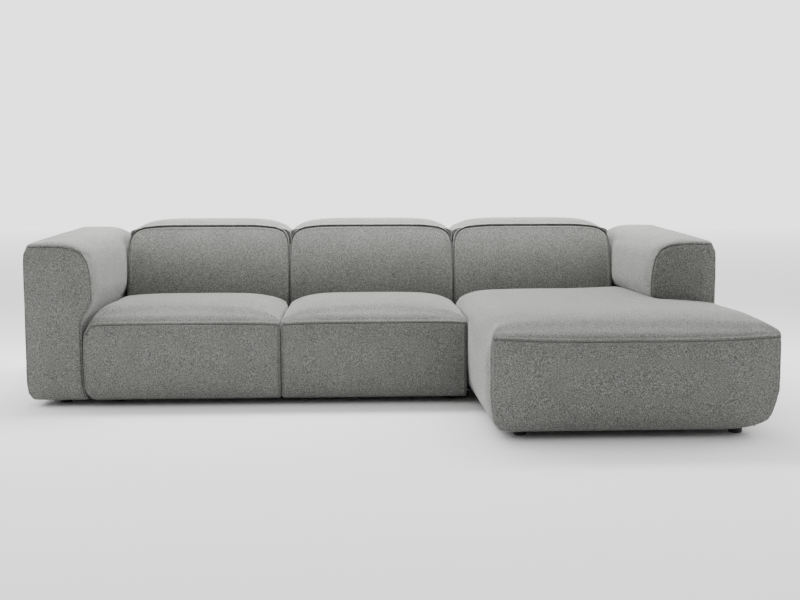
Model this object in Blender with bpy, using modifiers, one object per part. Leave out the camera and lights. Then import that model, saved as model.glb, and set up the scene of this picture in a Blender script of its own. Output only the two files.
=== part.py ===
"""Corner sofa: a left arm, a two-seat unit and a chaise with the right arm.

Each unit is a timber frame with webbing, foam cores and padded covers. Three
headrests on steel hinges lie flat behind the back cushions and fold up.
The origin is on the floor, under the middle of the sofa; +Y is the rear.
"""

import bpy
import bmesh
from math import pi, sqrt
from mathutils import Matrix, Vector

# Overall sizes, in metres
SEAT_PITCH = 0.805
SEAT_DEPTH = 0.656
CHAISE_REACH = 0.727
ARM_WIDTH = 0.2925
UNDERSIDE = 0.025
SEAT_HEIGHT = 0.435
CHAISE_HEIGHT = 0.443
ARM_HEIGHT = 0.762
BACK_SEAM_HEIGHT = 0.757

# Clearances
TOUCH = 0.0003
SOFT_GAP = 0.003
OVERRUN = 0.05

# Timber, foam and cloth
FRAME_BOTTOM = 0.030
BOARD = 0.025
RAIL_TOP = 0.160
STRAP_WIDTH = 0.050
STRAP_THICKNESS = 0.003
FOOT_BOARD_WIDTH = 0.125
FOOT_BOARD_THICKNESS = 0.020
DUST_CLOTH = 0.0007
COVER_WALL = 0.030
SEAT_PADDING = 0.075
SEAT_SIDE_PADDING = 0.045
CHAISE_PADDING = 0.095
CHAISE_LEFT_PADDING = 0.065
CHAISE_RIGHT_PADDING = 0.080
ARM_PADDING = 0.060
REAR_PADDING = 0.045
CORE_WALL = 0.050

# Feet and linking plates
FOOT_RADIUS = 0.025
FOOT_SIDES = 16
LINK_LENGTH = 0.200
LINK_WIDTH = 0.040
LINK_THICKNESS = 0.003
LINK_OFFSET = 0.055

# Reclined back and headrests
BACK_RECLINE = 0.096
BACK_TOP_DEPTH = 0.101
DECK_DEPTH = 0.180
CORE_THICKNESS = 0.115
LIP_DEPTH = 0.023
NOSE_RADIUS = 0.022
NOSE_CLEARANCE = 0.003
HEADREST_UNDERSIDE = 0.068
HEADREST_RISE = 0.055
PLYWOOD = 0.012
BEAM_DEPTH = 0.040
BEAM_HEIGHT = 0.070
BEAM_BELOW_HEADREST = 0.012

# Headrest hinges
HINGE_INSET = 0.080
PLATE = 0.004
FLANGE = 0.003
FLANGE_WIDTH = 0.022
EYE_RADIUS = 0.008
PIN_RADIUS = 0.004
PIN_TAIL = 0.003
HINGE_SIDES = 12
HINGE_CLEARANCE = 0.0004
LEAF_LENGTH = 0.080
LEAF_DEPTH = 0.009
BRACKET_FOOT = 0.030
BRACKET_INSET = 0.005
HALF_POCKET = PLATE + FLANGE_WIDTH + SOFT_GAP

# Places that follow from the sizes above
HALF_WIDTH = 3 * SEAT_PITCH / 2 + ARM_WIDTH
TOTAL_DEPTH = CHAISE_REACH + SEAT_DEPTH + BACK_RECLINE + BACK_TOP_DEPTH + DECK_DEPTH
FRONT = -TOTAL_DEPTH / 2
REAR = TOTAL_DEPTH / 2
SEAT_FRONT = FRONT + CHAISE_REACH
SEAT_BACK = SEAT_FRONT + SEAT_DEPTH
SEAM_Y = SEAT_BACK + BACK_RECLINE
CUSHION_REAR = SEAM_Y + BACK_TOP_DEPTH
FRAME_REAR = REAR - REAR_PADDING
FOOT_TOP = FRAME_BOTTOM - TOUCH
ARM_INNER = HALF_WIDTH - ARM_WIDTH
HEADREST_FRONT = SEAM_Y + LIP_DEPTH + NOSE_CLEARANCE
AXIS_Y = HEADREST_FRONT + NOSE_RADIUS
AXIS_HEIGHT = BACK_SEAM_HEIGHT - NOSE_RADIUS
HEADREST_HEIGHT = AXIS_HEIGHT + HEADREST_RISE
HEADREST_BOTTOM = AXIS_HEIGHT - HEADREST_UNDERSIDE
BEAM_TOP = HEADREST_BOTTOM - BEAM_BELOW_HEADREST
WEBBING_TOP = RAIL_TOP + TOUCH + 1.5 * STRAP_THICKNESS
CORE_BOTTOM = WEBBING_TOP + TOUCH
BOUNDARIES = [SEAT_PITCH * (index - 1.5) for index in range(4)]

# The arms are hollowed by the seats that press into them
SEAT_SQUEEZE = 0.030
ARM_SWELL = 0.0125
ARM_SETBACK = 0.018
ARM_FRONT = SEAT_FRONT + ARM_SETBACK
SQUEEZED = ARM_INNER + SEAT_SQUEEZE
BACK_OUTER = ARM_INNER - ARM_SWELL - SOFT_GAP
FRAME_OUTER = BACK_OUTER - COVER_WALL


def clear_scene():
    for thing in list(bpy.data.objects):
        bpy.data.objects.remove(thing, do_unlink=True)


clear_scene()
PARTS = bpy.data.collections.new("corner_sofa")
CUTTERS = bpy.data.collections.new("cutters")
bpy.context.scene.collection.children.link(PARTS)
bpy.context.scene.collection.children.link(CUTTERS)


def material(name, colour, roughness, metallic=0.0):
    made = bpy.data.materials.new(name)
    made.use_nodes = True
    shader = made.node_tree.nodes["Principled BSDF"]
    shader.inputs["Base Color"].default_value = (*colour, 1)
    shader.inputs["Roughness"].default_value = roughness
    shader.inputs["Metallic"].default_value = metallic
    made.diffuse_color = (*colour, 1)
    return made


FINISHES = {
    "cover_fabric": ((0.30, 0.30, 0.29), 0.95, 0.0),
    "foam": ((0.75, 0.70, 0.52), 0.9, 0.0),
    "timber": ((0.55, 0.38, 0.22), 0.7, 0.0),
    "webbing": ((0.08, 0.08, 0.08), 0.85, 0.0),
    "steel": ((0.35, 0.35, 0.36), 0.4, 1.0),
    "dust_cloth": ((0.03, 0.03, 0.03), 0.9, 0.0),
    "foot_plastic": ((0.012, 0.012, 0.012), 0.45, 0.0),
}


def add_object(name, mesh, finish=None):
    """Links a part with its own material, or a cutter where no finish is given."""
    made = bpy.data.objects.new(name, mesh)
    if finish is None:
        CUTTERS.objects.link(made)
        made.hide_render = True
        made.display_type = "WIRE"
        return made
    PARTS.objects.link(made)
    made.data.materials.append(material(name, *FINISHES[finish]))
    return made


def mesh_of(bm, name):
    bmesh.ops.recalc_face_normals(bm, faces=bm.faces)
    mesh = bpy.data.meshes.new(name)
    bm.to_mesh(mesh)
    bm.free()
    return mesh


def add_cube(bm, low, high):
    middle = (Vector(low) + Vector(high)) / 2
    size = Vector(high) - Vector(low)
    placed = Matrix.Translation(middle) @ Matrix.Diagonal((*size, 1))
    return bmesh.ops.create_cube(bm, size=1, matrix=placed)["verts"]


def add_disc(bm, centre, radius, length, axis, sides):
    """A solid cylinder that is centred on a point, along X or Z."""
    turn = Matrix.Rotation(pi / 2, 4, "Y") if axis == "X" else Matrix.Identity(4)
    made = bmesh.ops.create_cone(
        bm, cap_ends=True, segments=sides, radius1=radius, radius2=radius,
        depth=length, matrix=Matrix.Translation(centre) @ turn)
    return made["verts"]


def boxes(name, spans, finish=None):
    """One object made of boxes that don't touch each other."""
    bm = bmesh.new()
    for low, high in spans:
        add_cube(bm, low, high)
    return add_object(name, mesh_of(bm, name), finish)


def discs(name, centres, radius, length, axis, sides, finish=None):
    bm = bmesh.new()
    for centre in centres:
        add_disc(bm, centre, radius, length, axis, sides)
    made = add_object(name, mesh_of(bm, name), finish)
    made.data.shade_smooth()
    made.data.set_sharp_from_angle(angle=pi / 6)
    return made


def boolean(target, operand, operation):
    step = target.modifiers.new(operand.name, "BOOLEAN")
    step.operation = operation
    step.object = operand
    step.solver = "EXACT"
    return step


def cut(target, operand):
    boolean(target, operand, "DIFFERENCE")


def cut_boxes(target, spans):
    """Each box is its own cutter, because the boxes may overlap."""
    for index, span in enumerate(spans):
        cut(target, boxes(f"{target.name}_cut_{index}", [span]))


def grown(span, gap):
    low, high = span
    return ([value - gap for value in low], [value + gap for value in high])


def jointed(name, first, second, finish):
    """A frame of two layers of boards, each layer clear of itself."""
    made = boxes(name, first, finish)
    boolean(made, boxes(f"{name}_cross", second), "UNION")
    return made


# Soft forms: a box cage with rounded edges, shaped and then subdivided

def edge(share):
    """0 at the middle of a side, 1 at both its ends."""
    return abs(2 * share - 1) ** 4


def upper(share):
    return max(0, 2 * share - 1)


def lower(share):
    return max(0, 1 - 2 * share)


def cage_lines(low, high, low_radius, high_radius, inner_shares):
    lines = [low + low_radius] if low_radius else []
    lines += [low + (high - low) * share for share in inner_shares]
    lines += [high - high_radius] if high_radius else []
    return lines


def rounded(point, low, high, radii):
    """Moves a point of a box's surface onto the box's rounded edge."""
    centre = Vector(point)
    reach = Vector()
    for axis in range(3):
        low_radius, high_radius = radii[axis]
        if low_radius and point[axis] < low[axis] + low_radius:
            centre[axis] = low[axis] + low_radius
            reach[axis] = (point[axis] - centre[axis]) / low_radius
        elif high_radius and point[axis] > high[axis] - high_radius:
            centre[axis] = high[axis] - high_radius
            reach[axis] = (point[axis] - centre[axis]) / high_radius
    length = max(reach.length, 1)
    return centre + (Vector(point) - centre) / length


def unshaped(shares, point):
    return (0, 0, 0)


def loaf(name, span, radii, inner_shares, form, finish="cover_fabric"):
    """A crowned soft form. form(shares, point) gives how far a point moves."""
    low, high = span
    bm = bmesh.new()
    add_cube(bm, low, high)
    for axis in range(3):
        normal = Vector((axis == 0, axis == 1, axis == 2))
        for line in cage_lines(low[axis], high[axis], *radii[axis], inner_shares[axis]):
            bmesh.ops.bisect_plane(
                bm, geom=bm.verts[:] + bm.edges[:] + bm.faces[:],
                plane_co=normal * line, plane_no=normal)
    for vertex in bm.verts:
        shares = [(vertex.co[axis] - low[axis]) / (high[axis] - low[axis]) for axis in range(3)]
        vertex.co = rounded(vertex.co, low, high, radii) + Vector(form(shares, vertex.co))
    made = add_object(name, mesh_of(bm, name), finish)
    smooth = made.modifiers.new("round", "SUBSURF")
    smooth.levels = 1
    smooth.render_levels = 1
    made.data.shade_smooth()
    return made


# Feet, linking plates and foot boards

FOOT_BEHIND_SEAT_FRONT = 0.153
FOOT_BEFORE_CUSHION_REAR = 0.015
FOOT_BEHIND_CHAISE_RAIL = 0.035
SOFA_FOOT_INSET = 0.035
CHAISE_LEFT_FOOT_INSET = 0.066
CHAISE_RIGHT_FOOT_INSET = 0.064
FRONT_FOOT_Y = SEAT_FRONT + FOOT_BEHIND_SEAT_FRONT
REAR_FOOT_Y = CUSHION_REAR - FOOT_BEFORE_CUSHION_REAR
CHAISE_FOOT_Y = FRONT + CHAISE_PADDING + FOOT_BEHIND_CHAISE_RAIL
FRONT_LINK_Y = FRONT_FOOT_Y + LINK_OFFSET
REAR_LINK_Y = REAR_FOOT_Y - LINK_OFFSET

ARM_CARCASS = (SQUEEZED + COVER_WALL, HALF_WIDTH - ARM_PADDING)
SOFA_FRAME = (-FRAME_OUTER, BOUNDARIES[2] - SEAT_SIDE_PADDING)
CHAISE_FRAME = (BOUNDARIES[2] + CHAISE_LEFT_PADDING, FRAME_OUTER)
LINK_PLACES = {"left": -(FRAME_OUTER + ARM_CARCASS[0]) / 2,
               "right": (SOFA_FRAME[1] + CHAISE_FRAME[0]) / 2}
CHAISE_FRAME_FRONT = FRONT + CHAISE_PADDING
CHAISE_FRAME_RIGHT = HALF_WIDTH - CHAISE_RIGHT_PADDING
NOTCH_Y = ARM_FRONT - SOFT_GAP - COVER_WALL
SOFA_FRAME_FRONT = SEAT_FRONT + SEAT_PADDING


def foot_board(x_span, foot_y, link_side):
    """A flat board under a frame, wide enough for a foot and a linking plate."""
    middle = foot_y + link_side * LINK_OFFSET / 2
    half = FOOT_BOARD_WIDTH / 2
    return ((x_span[0], middle - half, FRAME_BOTTOM),
            (x_span[1], middle + half, FRAME_BOTTOM + FOOT_BOARD_THICKNESS))


def add_foot(name, x, y):
    centre = (x, y, FOOT_TOP / 2)
    return discs(name, [centre], FOOT_RADIUS, FOOT_TOP, "Z", FOOT_SIDES, "foot_plastic")


def link_span(x, y):
    return ((x - LINK_LENGTH / 2, y - LINK_WIDTH / 2, FOOT_TOP - LINK_THICKNESS),
            (x + LINK_LENGTH / 2, y + LINK_WIDTH / 2, FOOT_TOP))


def add_dust_cloth(name, x_span, y_span, feet, links, notch=None):
    """A thin sheet under a frame, with holes round the feet and plates."""
    top = FOOT_TOP
    cloth = boxes(name, [((x_span[0], y_span[0], top - DUST_CLOTH),
                          (x_span[1], y_span[1], top))], "dust_cloth")
    holes = [(x, y, top) for x, y in feet]
    cut(cloth, discs(f"{name}_holes", holes, FOOT_RADIUS + SOFT_GAP, OVERRUN, "Z", FOOT_SIDES))
    cut_boxes(cloth, [grown(link_span(x, y), SOFT_GAP) for x, y in links])
    if notch:
        cut_boxes(cloth, [notch])
    return cloth


def add_links():
    for side, x in LINK_PLACES.items():
        boxes(f"link_plate_front_{side}", [link_span(x, FRONT_LINK_Y)], "steel")
        boxes(f"link_plate_rear_{side}", [link_span(x, REAR_LINK_Y)], "steel")


# Arms

ARM_RADII = {"outer": 0.045, "inner": 0.085, "front": 0.035, "rear": 0.040,
             "bottom": 0.060, "top": 0.080}
ARM_FRONT_DROP = 0.037
ARM_EDGE_DROP = 0.015
ARM_FACE_DRAW = 0.008
ARM_TUCK = SEAT_SQUEEZE + ARM_SWELL + 2 * SOFT_GAP
SWELL_RISE = 0.085
SWELL_BELOW_SEAT = 0.045
SWELL_ABOVE_CHAISE = 0.026
SWELL_FOOT = {-1: SEAT_HEIGHT - SWELL_BELOW_SEAT, 1: CHAISE_HEIGHT + SWELL_ABOVE_CHAISE}
TUCK_OVERHANG = 0.035
TUCK_FADE = 0.066
ARM_WAIST_SHARE = 0.35
ARM_TOP_PADDING = 0.132
ARM_CARCASS_TOP = ARM_HEIGHT - ARM_TOP_PADDING
BATTEN_WIDTH = 0.030
BATTEN_HEIGHT = 0.040
BATTEN_INSET = 0.002


def mirror_span(low_x, high_x, side):
    """Side is -1 for the left arm and 1 for the right one."""
    return (low_x, high_x) if side > 0 else (-high_x, -low_x)


def swell_share(side, height):
    """How far the arm swells over the seat: 0 up to the seat's edge, then 1."""
    return min(max((height - SWELL_FOOT[side]) / SWELL_RISE, 0), 1)


def shares_of(places, low, high):
    return [(place - low) / (high - low) for place in places]


def arm_form(side):
    def form(shares, point):
        outward = shares[0] if side > 0 else 1 - shares[0]
        tuck = ARM_TUCK * (1 - swell_share(side, point.z)) * lower(outward)
        if point.y > SEAT_BACK + TUCK_OVERHANG + TUCK_FADE / 2:
            tuck = 0
        drop = ARM_FRONT_DROP * (1 - shares[1]) + ARM_EDGE_DROP * edge(outward)
        draw = ARM_FACE_DRAW * lower(shares[1]) * max(edge(shares[2]), edge(outward))
        return (side * tuck, draw, -drop * upper(shares[2]))
    return form


def add_arm(name, side, links):
    low_x, high_x = mirror_span(ARM_INNER - ARM_SWELL, HALF_WIDTH, side)
    outer, inner = ARM_RADII["outer"], ARM_RADII["inner"]
    x_radii = (inner, outer) if side > 0 else (outer, inner)
    tuck_lines = (SEAT_BACK - TUCK_OVERHANG, SEAT_BACK + TUCK_OVERHANG,
                  SEAT_BACK + TUCK_OVERHANG + TUCK_FADE)
    swell_lines = (SWELL_FOOT[side], SWELL_FOOT[side] + SWELL_RISE)
    cover = loaf(
        f"arm_cover_{name}",
        ((low_x, ARM_FRONT, UNDERSIDE), (high_x, REAR, ARM_HEIGHT)),
        (x_radii, (ARM_RADII["front"], ARM_RADII["rear"]),
         (ARM_RADII["bottom"], ARM_RADII["top"])),
        ((), shares_of(tuck_lines, ARM_FRONT, REAR),
         [ARM_WAIST_SHARE] + shares_of(swell_lines, UNDERSIDE, ARM_HEIGHT)),
        arm_form(side))

    low_x, high_x = mirror_span(*ARM_CARCASS, side)
    low_y, high_y = ARM_FRONT + ARM_PADDING, FRAME_REAR
    envelope = ((low_x, low_y, UNDERSIDE - OVERRUN), (high_x, high_y, ARM_CARCASS_TOP))
    cut_boxes(cover, [grown(envelope, TOUCH)])
    cut_boxes(cover, [grown(link_span(x, y), SOFT_GAP) for x, y in links])

    middle = (low_y + high_y) / 2
    boards = [((low_x, y, FRAME_BOTTOM), (high_x, y + BOARD, ARM_CARCASS_TOP))
              for y in (low_y, middle - BOARD / 2, high_y - BOARD)]
    foot_boards = [foot_board((low_x, high_x), FRONT_FOOT_Y, 1),
                   foot_board((low_x, high_x), REAR_FOOT_Y, -1)]
    battens = []
    for x in (low_x + BATTEN_INSET, high_x - BATTEN_INSET - BATTEN_WIDTH):
        for z in (FRAME_BOTTOM + BATTEN_INSET, ARM_CARCASS_TOP - BATTEN_INSET - BATTEN_HEIGHT):
            battens.append(((x, low_y + BATTEN_INSET, z),
                            (x + BATTEN_WIDTH, high_y - BATTEN_INSET, z + BATTEN_HEIGHT)))
    jointed(f"arm_frame_{name}", boards + foot_boards, battens, "timber")


def add_arms():
    links = [(LINK_PLACES["left"], y) for y in (FRONT_LINK_Y, REAR_LINK_Y)]
    add_arm("left", -1, links)
    add_arm("right", 1, [])
    foot_x = (ARM_CARCASS[0] + ARM_CARCASS[1]) / 2
    add_foot("foot_arm_left_front", -foot_x, FRONT_FOOT_Y)
    add_foot("foot_arm_left_rear", -foot_x, REAR_FOOT_Y)
    add_foot("foot_arm_right_rear", foot_x, REAR_FOOT_Y)
    low_y, high_y = ARM_FRONT + ARM_PADDING, FRAME_REAR
    feet = [(-foot_x, FRONT_FOOT_Y), (-foot_x, REAR_FOOT_Y)]
    add_dust_cloth("dust_cloth_arm_left", mirror_span(*ARM_CARCASS, -1), (low_y, high_y), feet, links)
    add_dust_cloth("dust_cloth_arm_right", ARM_CARCASS, (low_y, high_y), [(foot_x, REAR_FOOT_Y)], [])


# Seats and their base frames

SEAT_RADII = {"arm_side": 0.045, "seat_side": 0.025, "front": 0.050, "bottom": 0.060, "top": 0.060}
SEAT_SIDE_DROP = 0.038
SEAT_FRONT_DROP = 0.036
SEAT_FRONT_DRAW = 0.012
SEAT_X_SHARES = (0.35, 0.65)
SEAT_Y_SHARES = (0.35, 0.70, 0.95)
SEAT_Z_SHARES = (0.5,)
CORE_BELOW_SEAT = 0.100
STRAP_SHARES = (0.13, 0.38, 0.62, 0.87)
CROSS_STRAP_SHARES = (0.17, 0.50, 0.83)
WEBBING_RAIL_Y = SEAT_BACK - BOARD / 2


def seat_form(shares, point):
    side_drop = SEAT_SIDE_DROP * edge(shares[0]) * sqrt(max(shares[1], 0))
    drop = side_drop + SEAT_FRONT_DROP * (1 - shares[1]) ** 3
    draw = SEAT_FRONT_DRAW * lower(shares[1]) * edge(shares[2])
    return (0, draw, -drop * upper(shares[2]))


def base_envelope(x_span, front):
    return ((x_span[0], front, UNDERSIDE - OVERRUN), (x_span[1], FRAME_REAR, WEBBING_TOP))


def add_seat(name, low_x, high_x, left_radius, links):
    span = ((low_x, SEAT_FRONT, UNDERSIDE), (high_x, SEAT_BACK - TOUCH, SEAT_HEIGHT))
    radii = ((left_radius, SEAT_RADII["seat_side"]), (SEAT_RADII["front"], 0),
             (SEAT_RADII["bottom"], SEAT_RADII["top"]))
    cover = loaf(f"seat_cover_{name}", span, radii, (SEAT_X_SHARES, SEAT_Y_SHARES, SEAT_Z_SHARES),
                 seat_form)
    core = ((low_x + CORE_WALL, SEAT_FRONT + CORE_WALL, CORE_BOTTOM),
            (high_x - CORE_WALL, SEAT_BACK - CORE_WALL, SEAT_HEIGHT - CORE_BELOW_SEAT))
    boxes(f"seat_core_{name}", [core], "foam")
    cut_boxes(cover, [grown(base_envelope(SOFA_FRAME, SOFA_FRAME_FRONT), TOUCH), grown(core, TOUCH)])
    cut_boxes(cover, [grown(link_span(x, y), SOFT_GAP) for x, y in links])


def straps(x_span, y_span, long_places, cross_places, long_z, cross_z):
    half = STRAP_WIDTH / 2
    long_ones = [((x - half, y_span[0], long_z), (x + half, y_span[1], long_z + STRAP_THICKNESS))
                 for x in long_places]
    cross_ones = [((x_span[0], y - half, cross_z), (x_span[1], y + half, cross_z + STRAP_THICKNESS))
                  for y in cross_places]
    return long_ones, cross_ones


def places(span, shares):
    return [span[0] + (span[1] - span[0]) * share for share in shares]


def add_webbing(name, x_span, y_span, long_places, cross_places, more=()):
    """Elastic straps on top of the rails, interlaced half a thickness deep."""
    low_z = RAIL_TOP + TOUCH
    long_ones, cross_ones = straps(
        x_span, y_span, long_places, cross_places, low_z, low_z + STRAP_THICKNESS / 2)
    return jointed(name, long_ones, cross_ones + list(more), "webbing")


def add_two_seat_base():
    low_x, high_x = SOFA_FRAME
    front, rear = SOFA_FRAME_FRONT, FRAME_REAR
    along = [((low_x, y, FRAME_BOTTOM), (high_x, y + BOARD, RAIL_TOP))
             for y in (front, WEBBING_RAIL_Y, rear - BOARD)]
    along += [foot_board(SOFA_FRAME, FRONT_FOOT_Y, 1), foot_board(SOFA_FRAME, REAR_FOOT_Y, -1)]
    inset = BATTEN_INSET
    across = [((x, front + inset, FRAME_BOTTOM + inset), (x + BOARD, rear - inset, RAIL_TOP - inset))
              for x in (low_x + inset, BOUNDARIES[1] - BOARD / 2, high_x - inset - BOARD)]
    jointed("base_frame_two_seat", along, across, "timber")

    webbing_y = (front, WEBBING_RAIL_Y + BOARD)
    left, right = (low_x, BOUNDARIES[1]), (BOUNDARIES[1], high_x)
    add_webbing("seat_webbing", SOFA_FRAME, webbing_y,
                places(left, STRAP_SHARES) + places(right, STRAP_SHARES),
                places(webbing_y, CROSS_STRAP_SHARES))

    feet = [(x, y) for x in (low_x + SOFA_FOOT_INSET, high_x - SOFA_FOOT_INSET)
            for y in (FRONT_FOOT_Y, REAR_FOOT_Y)]
    for place, (x, y) in zip(("left_front", "left_rear", "right_front", "right_rear"), feet):
        add_foot(f"foot_two_seat_{place}", x, y)
    links = [(x, y) for x in LINK_PLACES.values() for y in (FRONT_LINK_Y, REAR_LINK_Y)]
    add_dust_cloth("dust_cloth_two_seat", SOFA_FRAME, (front, rear), feet, links)


def add_seats():
    add_two_seat_base()
    add_seat("left", -SQUEEZED, BOUNDARIES[1] - TOUCH, SEAT_RADII["arm_side"],
             [(LINK_PLACES["left"], FRONT_LINK_Y)])
    add_seat("middle", BOUNDARIES[1] + TOUCH, BOUNDARIES[2] - TOUCH, SEAT_RADII["seat_side"],
             [(LINK_PLACES["right"], FRONT_LINK_Y)])


# Chaise, which runs past the front of the right arm

CHAISE_RADII = {"left": 0.050, "right": 0.055, "front": 0.075, "bottom": 0.080, "top": 0.060}
CHAISE_X_SHARES = (0.35, 0.65)
CHAISE_Y_SHARES = (0.2, 0.4, 0.65, 0.97)
CHAISE_Z_SHARES = (0.5,)
CHAISE_FRONT_DROP = 0.042
CHAISE_SIDE_DROP = 0.004
CHAISE_SIDE_DRAW = 0.014
CHAISE_VALLEY_DROP = 0.036
CHAISE_FRONT_DRAW = 0.012


def chaise_form(shares, point):
    side_drop = CHAISE_VALLEY_DROP if shares[0] < 0.5 else CHAISE_SIDE_DROP
    drop = side_drop * edge(shares[0]) + CHAISE_FRONT_DROP * (1 - shares[1]) ** 3
    draw = CHAISE_FRONT_DRAW * lower(shares[1]) * max(edge(shares[2]), edge(shares[0]))
    return (-CHAISE_SIDE_DRAW * upper(shares[0]) * lower(shares[2]), draw, -drop * upper(shares[2]))


def add_chaise_cover(arm_space, cores):
    span = ((BOUNDARIES[2] + TOUCH, FRONT, UNDERSIDE), (HALF_WIDTH, SEAT_BACK - TOUCH, CHAISE_HEIGHT))
    radii = ((CHAISE_RADII["left"], CHAISE_RADII["right"]), (CHAISE_RADII["front"], 0),
             (CHAISE_RADII["bottom"], CHAISE_RADII["top"]))
    cover = loaf("chaise_cover", span, radii, (CHAISE_X_SHARES, CHAISE_Y_SHARES, CHAISE_Z_SHARES),
                 chaise_form)
    main = base_envelope(CHAISE_FRAME, CHAISE_FRAME_FRONT)
    side = ((CHAISE_FRAME[0], CHAISE_FRAME_FRONT, UNDERSIDE - OVERRUN),
            (CHAISE_FRAME_RIGHT, NOTCH_Y, WEBBING_TOP))
    cut_boxes(cover, [arm_space, grown(main, TOUCH), grown(side, TOUCH)])
    cut_boxes(cover, [grown(core, TOUCH) for core in cores])
    cut_boxes(cover, [grown(link_span(LINK_PLACES["right"], FRONT_LINK_Y), SOFT_GAP)])


def add_chaise_base(arm_space):
    low_x, high_x = CHAISE_FRAME
    front, rear, right = CHAISE_FRAME_FRONT, FRAME_REAR, CHAISE_FRAME_RIGHT
    along = [((low_x, front, FRAME_BOTTOM), (right, front + BOARD, RAIL_TOP)),
             ((low_x, NOTCH_Y - BOARD, FRAME_BOTTOM), (right, NOTCH_Y, RAIL_TOP)),
             ((low_x, WEBBING_RAIL_Y, FRAME_BOTTOM), (high_x, WEBBING_RAIL_Y + BOARD, RAIL_TOP)),
             ((low_x, rear - BOARD, FRAME_BOTTOM), (high_x, rear, RAIL_TOP)),
             ((low_x, front + BOARD + TOUCH, FRAME_BOTTOM),
              (right, front + FOOT_BOARD_WIDTH, FRAME_BOTTOM + FOOT_BOARD_THICKNESS)),
             foot_board(CHAISE_FRAME, FRONT_FOOT_Y, 1),
             foot_board(CHAISE_FRAME, REAR_FOOT_Y, -1)]
    inset = BATTEN_INSET
    low_z, high_z = FRAME_BOTTOM + inset, RAIL_TOP - inset
    across = [((x, front + inset, low_z), (x + BOARD, rear - inset, high_z))
              for x in (low_x + inset, high_x - inset - BOARD)]
    across.append(((right - inset - BOARD, front + inset, low_z), (right - inset, NOTCH_Y - inset, high_z)))
    jointed("base_frame_chaise", along, across, "timber")

    webbing_y = (front, WEBBING_RAIL_Y + BOARD)
    front_part = (front, NOTCH_Y)
    long_places = places(CHAISE_FRAME, STRAP_SHARES)
    long_z, cross_z = RAIL_TOP + TOUCH, RAIL_TOP + TOUCH + STRAP_THICKNESS / 2
    wide = straps((low_x, right), front_part, (), places(front_part, CROSS_STRAP_SHARES),
                  long_z, cross_z)
    add_webbing("chaise_webbing", CHAISE_FRAME, webbing_y, long_places,
                places((NOTCH_Y, SEAT_BACK), CROSS_STRAP_SHARES), wide[1])

    feet = {"left_front": (low_x + CHAISE_LEFT_FOOT_INSET, CHAISE_FOOT_Y),
            "right_front": (right - CHAISE_RIGHT_FOOT_INSET, CHAISE_FOOT_Y),
            "left_rear": (low_x + CHAISE_LEFT_FOOT_INSET, REAR_FOOT_Y)}
    for place, (x, y) in feet.items():
        add_foot(f"foot_chaise_{place}", x, y)
    links = [(LINK_PLACES["right"], y) for y in (FRONT_LINK_Y, REAR_LINK_Y)]
    behind_notch = ((high_x, NOTCH_Y, UNDERSIDE - OVERRUN), arm_space[1])
    add_dust_cloth("dust_cloth_chaise", (low_x, right), (front, rear), list(feet.values()), links,
                   behind_notch)


def add_chaise():
    """The cover and its parts stop short of the space that the arm stands in."""
    arm_space = ((SQUEEZED - SOFT_GAP, ARM_FRONT - SOFT_GAP, UNDERSIDE - OVERRUN),
                 (HALF_WIDTH + OVERRUN, REAR + OVERRUN, ARM_HEIGHT))
    low_x, front = BOUNDARIES[2] + CORE_WALL, FRONT + CORE_WALL
    top = CHAISE_HEIGHT - CORE_BELOW_SEAT
    main = ((low_x, front, CORE_BOTTOM), (SQUEEZED - CORE_WALL, SEAT_BACK - CORE_WALL, top))
    side = ((low_x + CORE_WALL, front + BATTEN_INSET, CORE_BOTTOM + BATTEN_INSET),
            (HALF_WIDTH - CORE_WALL, ARM_FRONT - SOFT_GAP - CORE_WALL, top - BATTEN_INSET))
    add_chaise_base(arm_space)
    jointed("chaise_core", [main], [side], "foam")
    add_chaise_cover(arm_space, (main, side))


# Backs

BACK_RADII = {"side": 0.055, "front": 0.040, "bottom": 0.030, "top": 0.030}
BACK_X_SHARES = (0.35, 0.65)
BACK_BULGE_POWER = 1.35
BACK_SIDE_DRAW = 0.012
BACK_TOP_DROP = 0.012
CORE_ABOVE_BACK_BOTTOM = 0.043
CORE_BELOW_BACK_SEAM = 0.142
LEAN_FOOT = SEAT_HEIGHT
BACK_BOTTOM = CORE_BOTTOM + SOFT_GAP / 2
BACK_FRAME_FRONT = CUSHION_REAR + TOUCH
GABLE = 0.018
UNDER_HEADREST = HEADREST_BOTTOM - TOUCH
DECK_FRONT = BACK_FRAME_FRONT + BEAM_DEPTH + SOFT_GAP
REAR_COVER_RADII = {"side": 0.020, "rear": 0.030, "bottom": 0.030, "top": 0.015}


def back_form(shares, point):
    lean_share = max(0, point.z - LEAN_FOOT) / (BACK_SEAM_HEIGHT - LEAN_FOOT)
    lean = BACK_RECLINE * lean_share ** BACK_BULGE_POWER
    draw = BACK_SIDE_DRAW * edge(shares[0]) * min(lean_share * 2, 1)
    return (0, (lean + draw) * lower(shares[1]), -BACK_TOP_DROP * edge(shares[0]) * upper(shares[2]))


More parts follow.
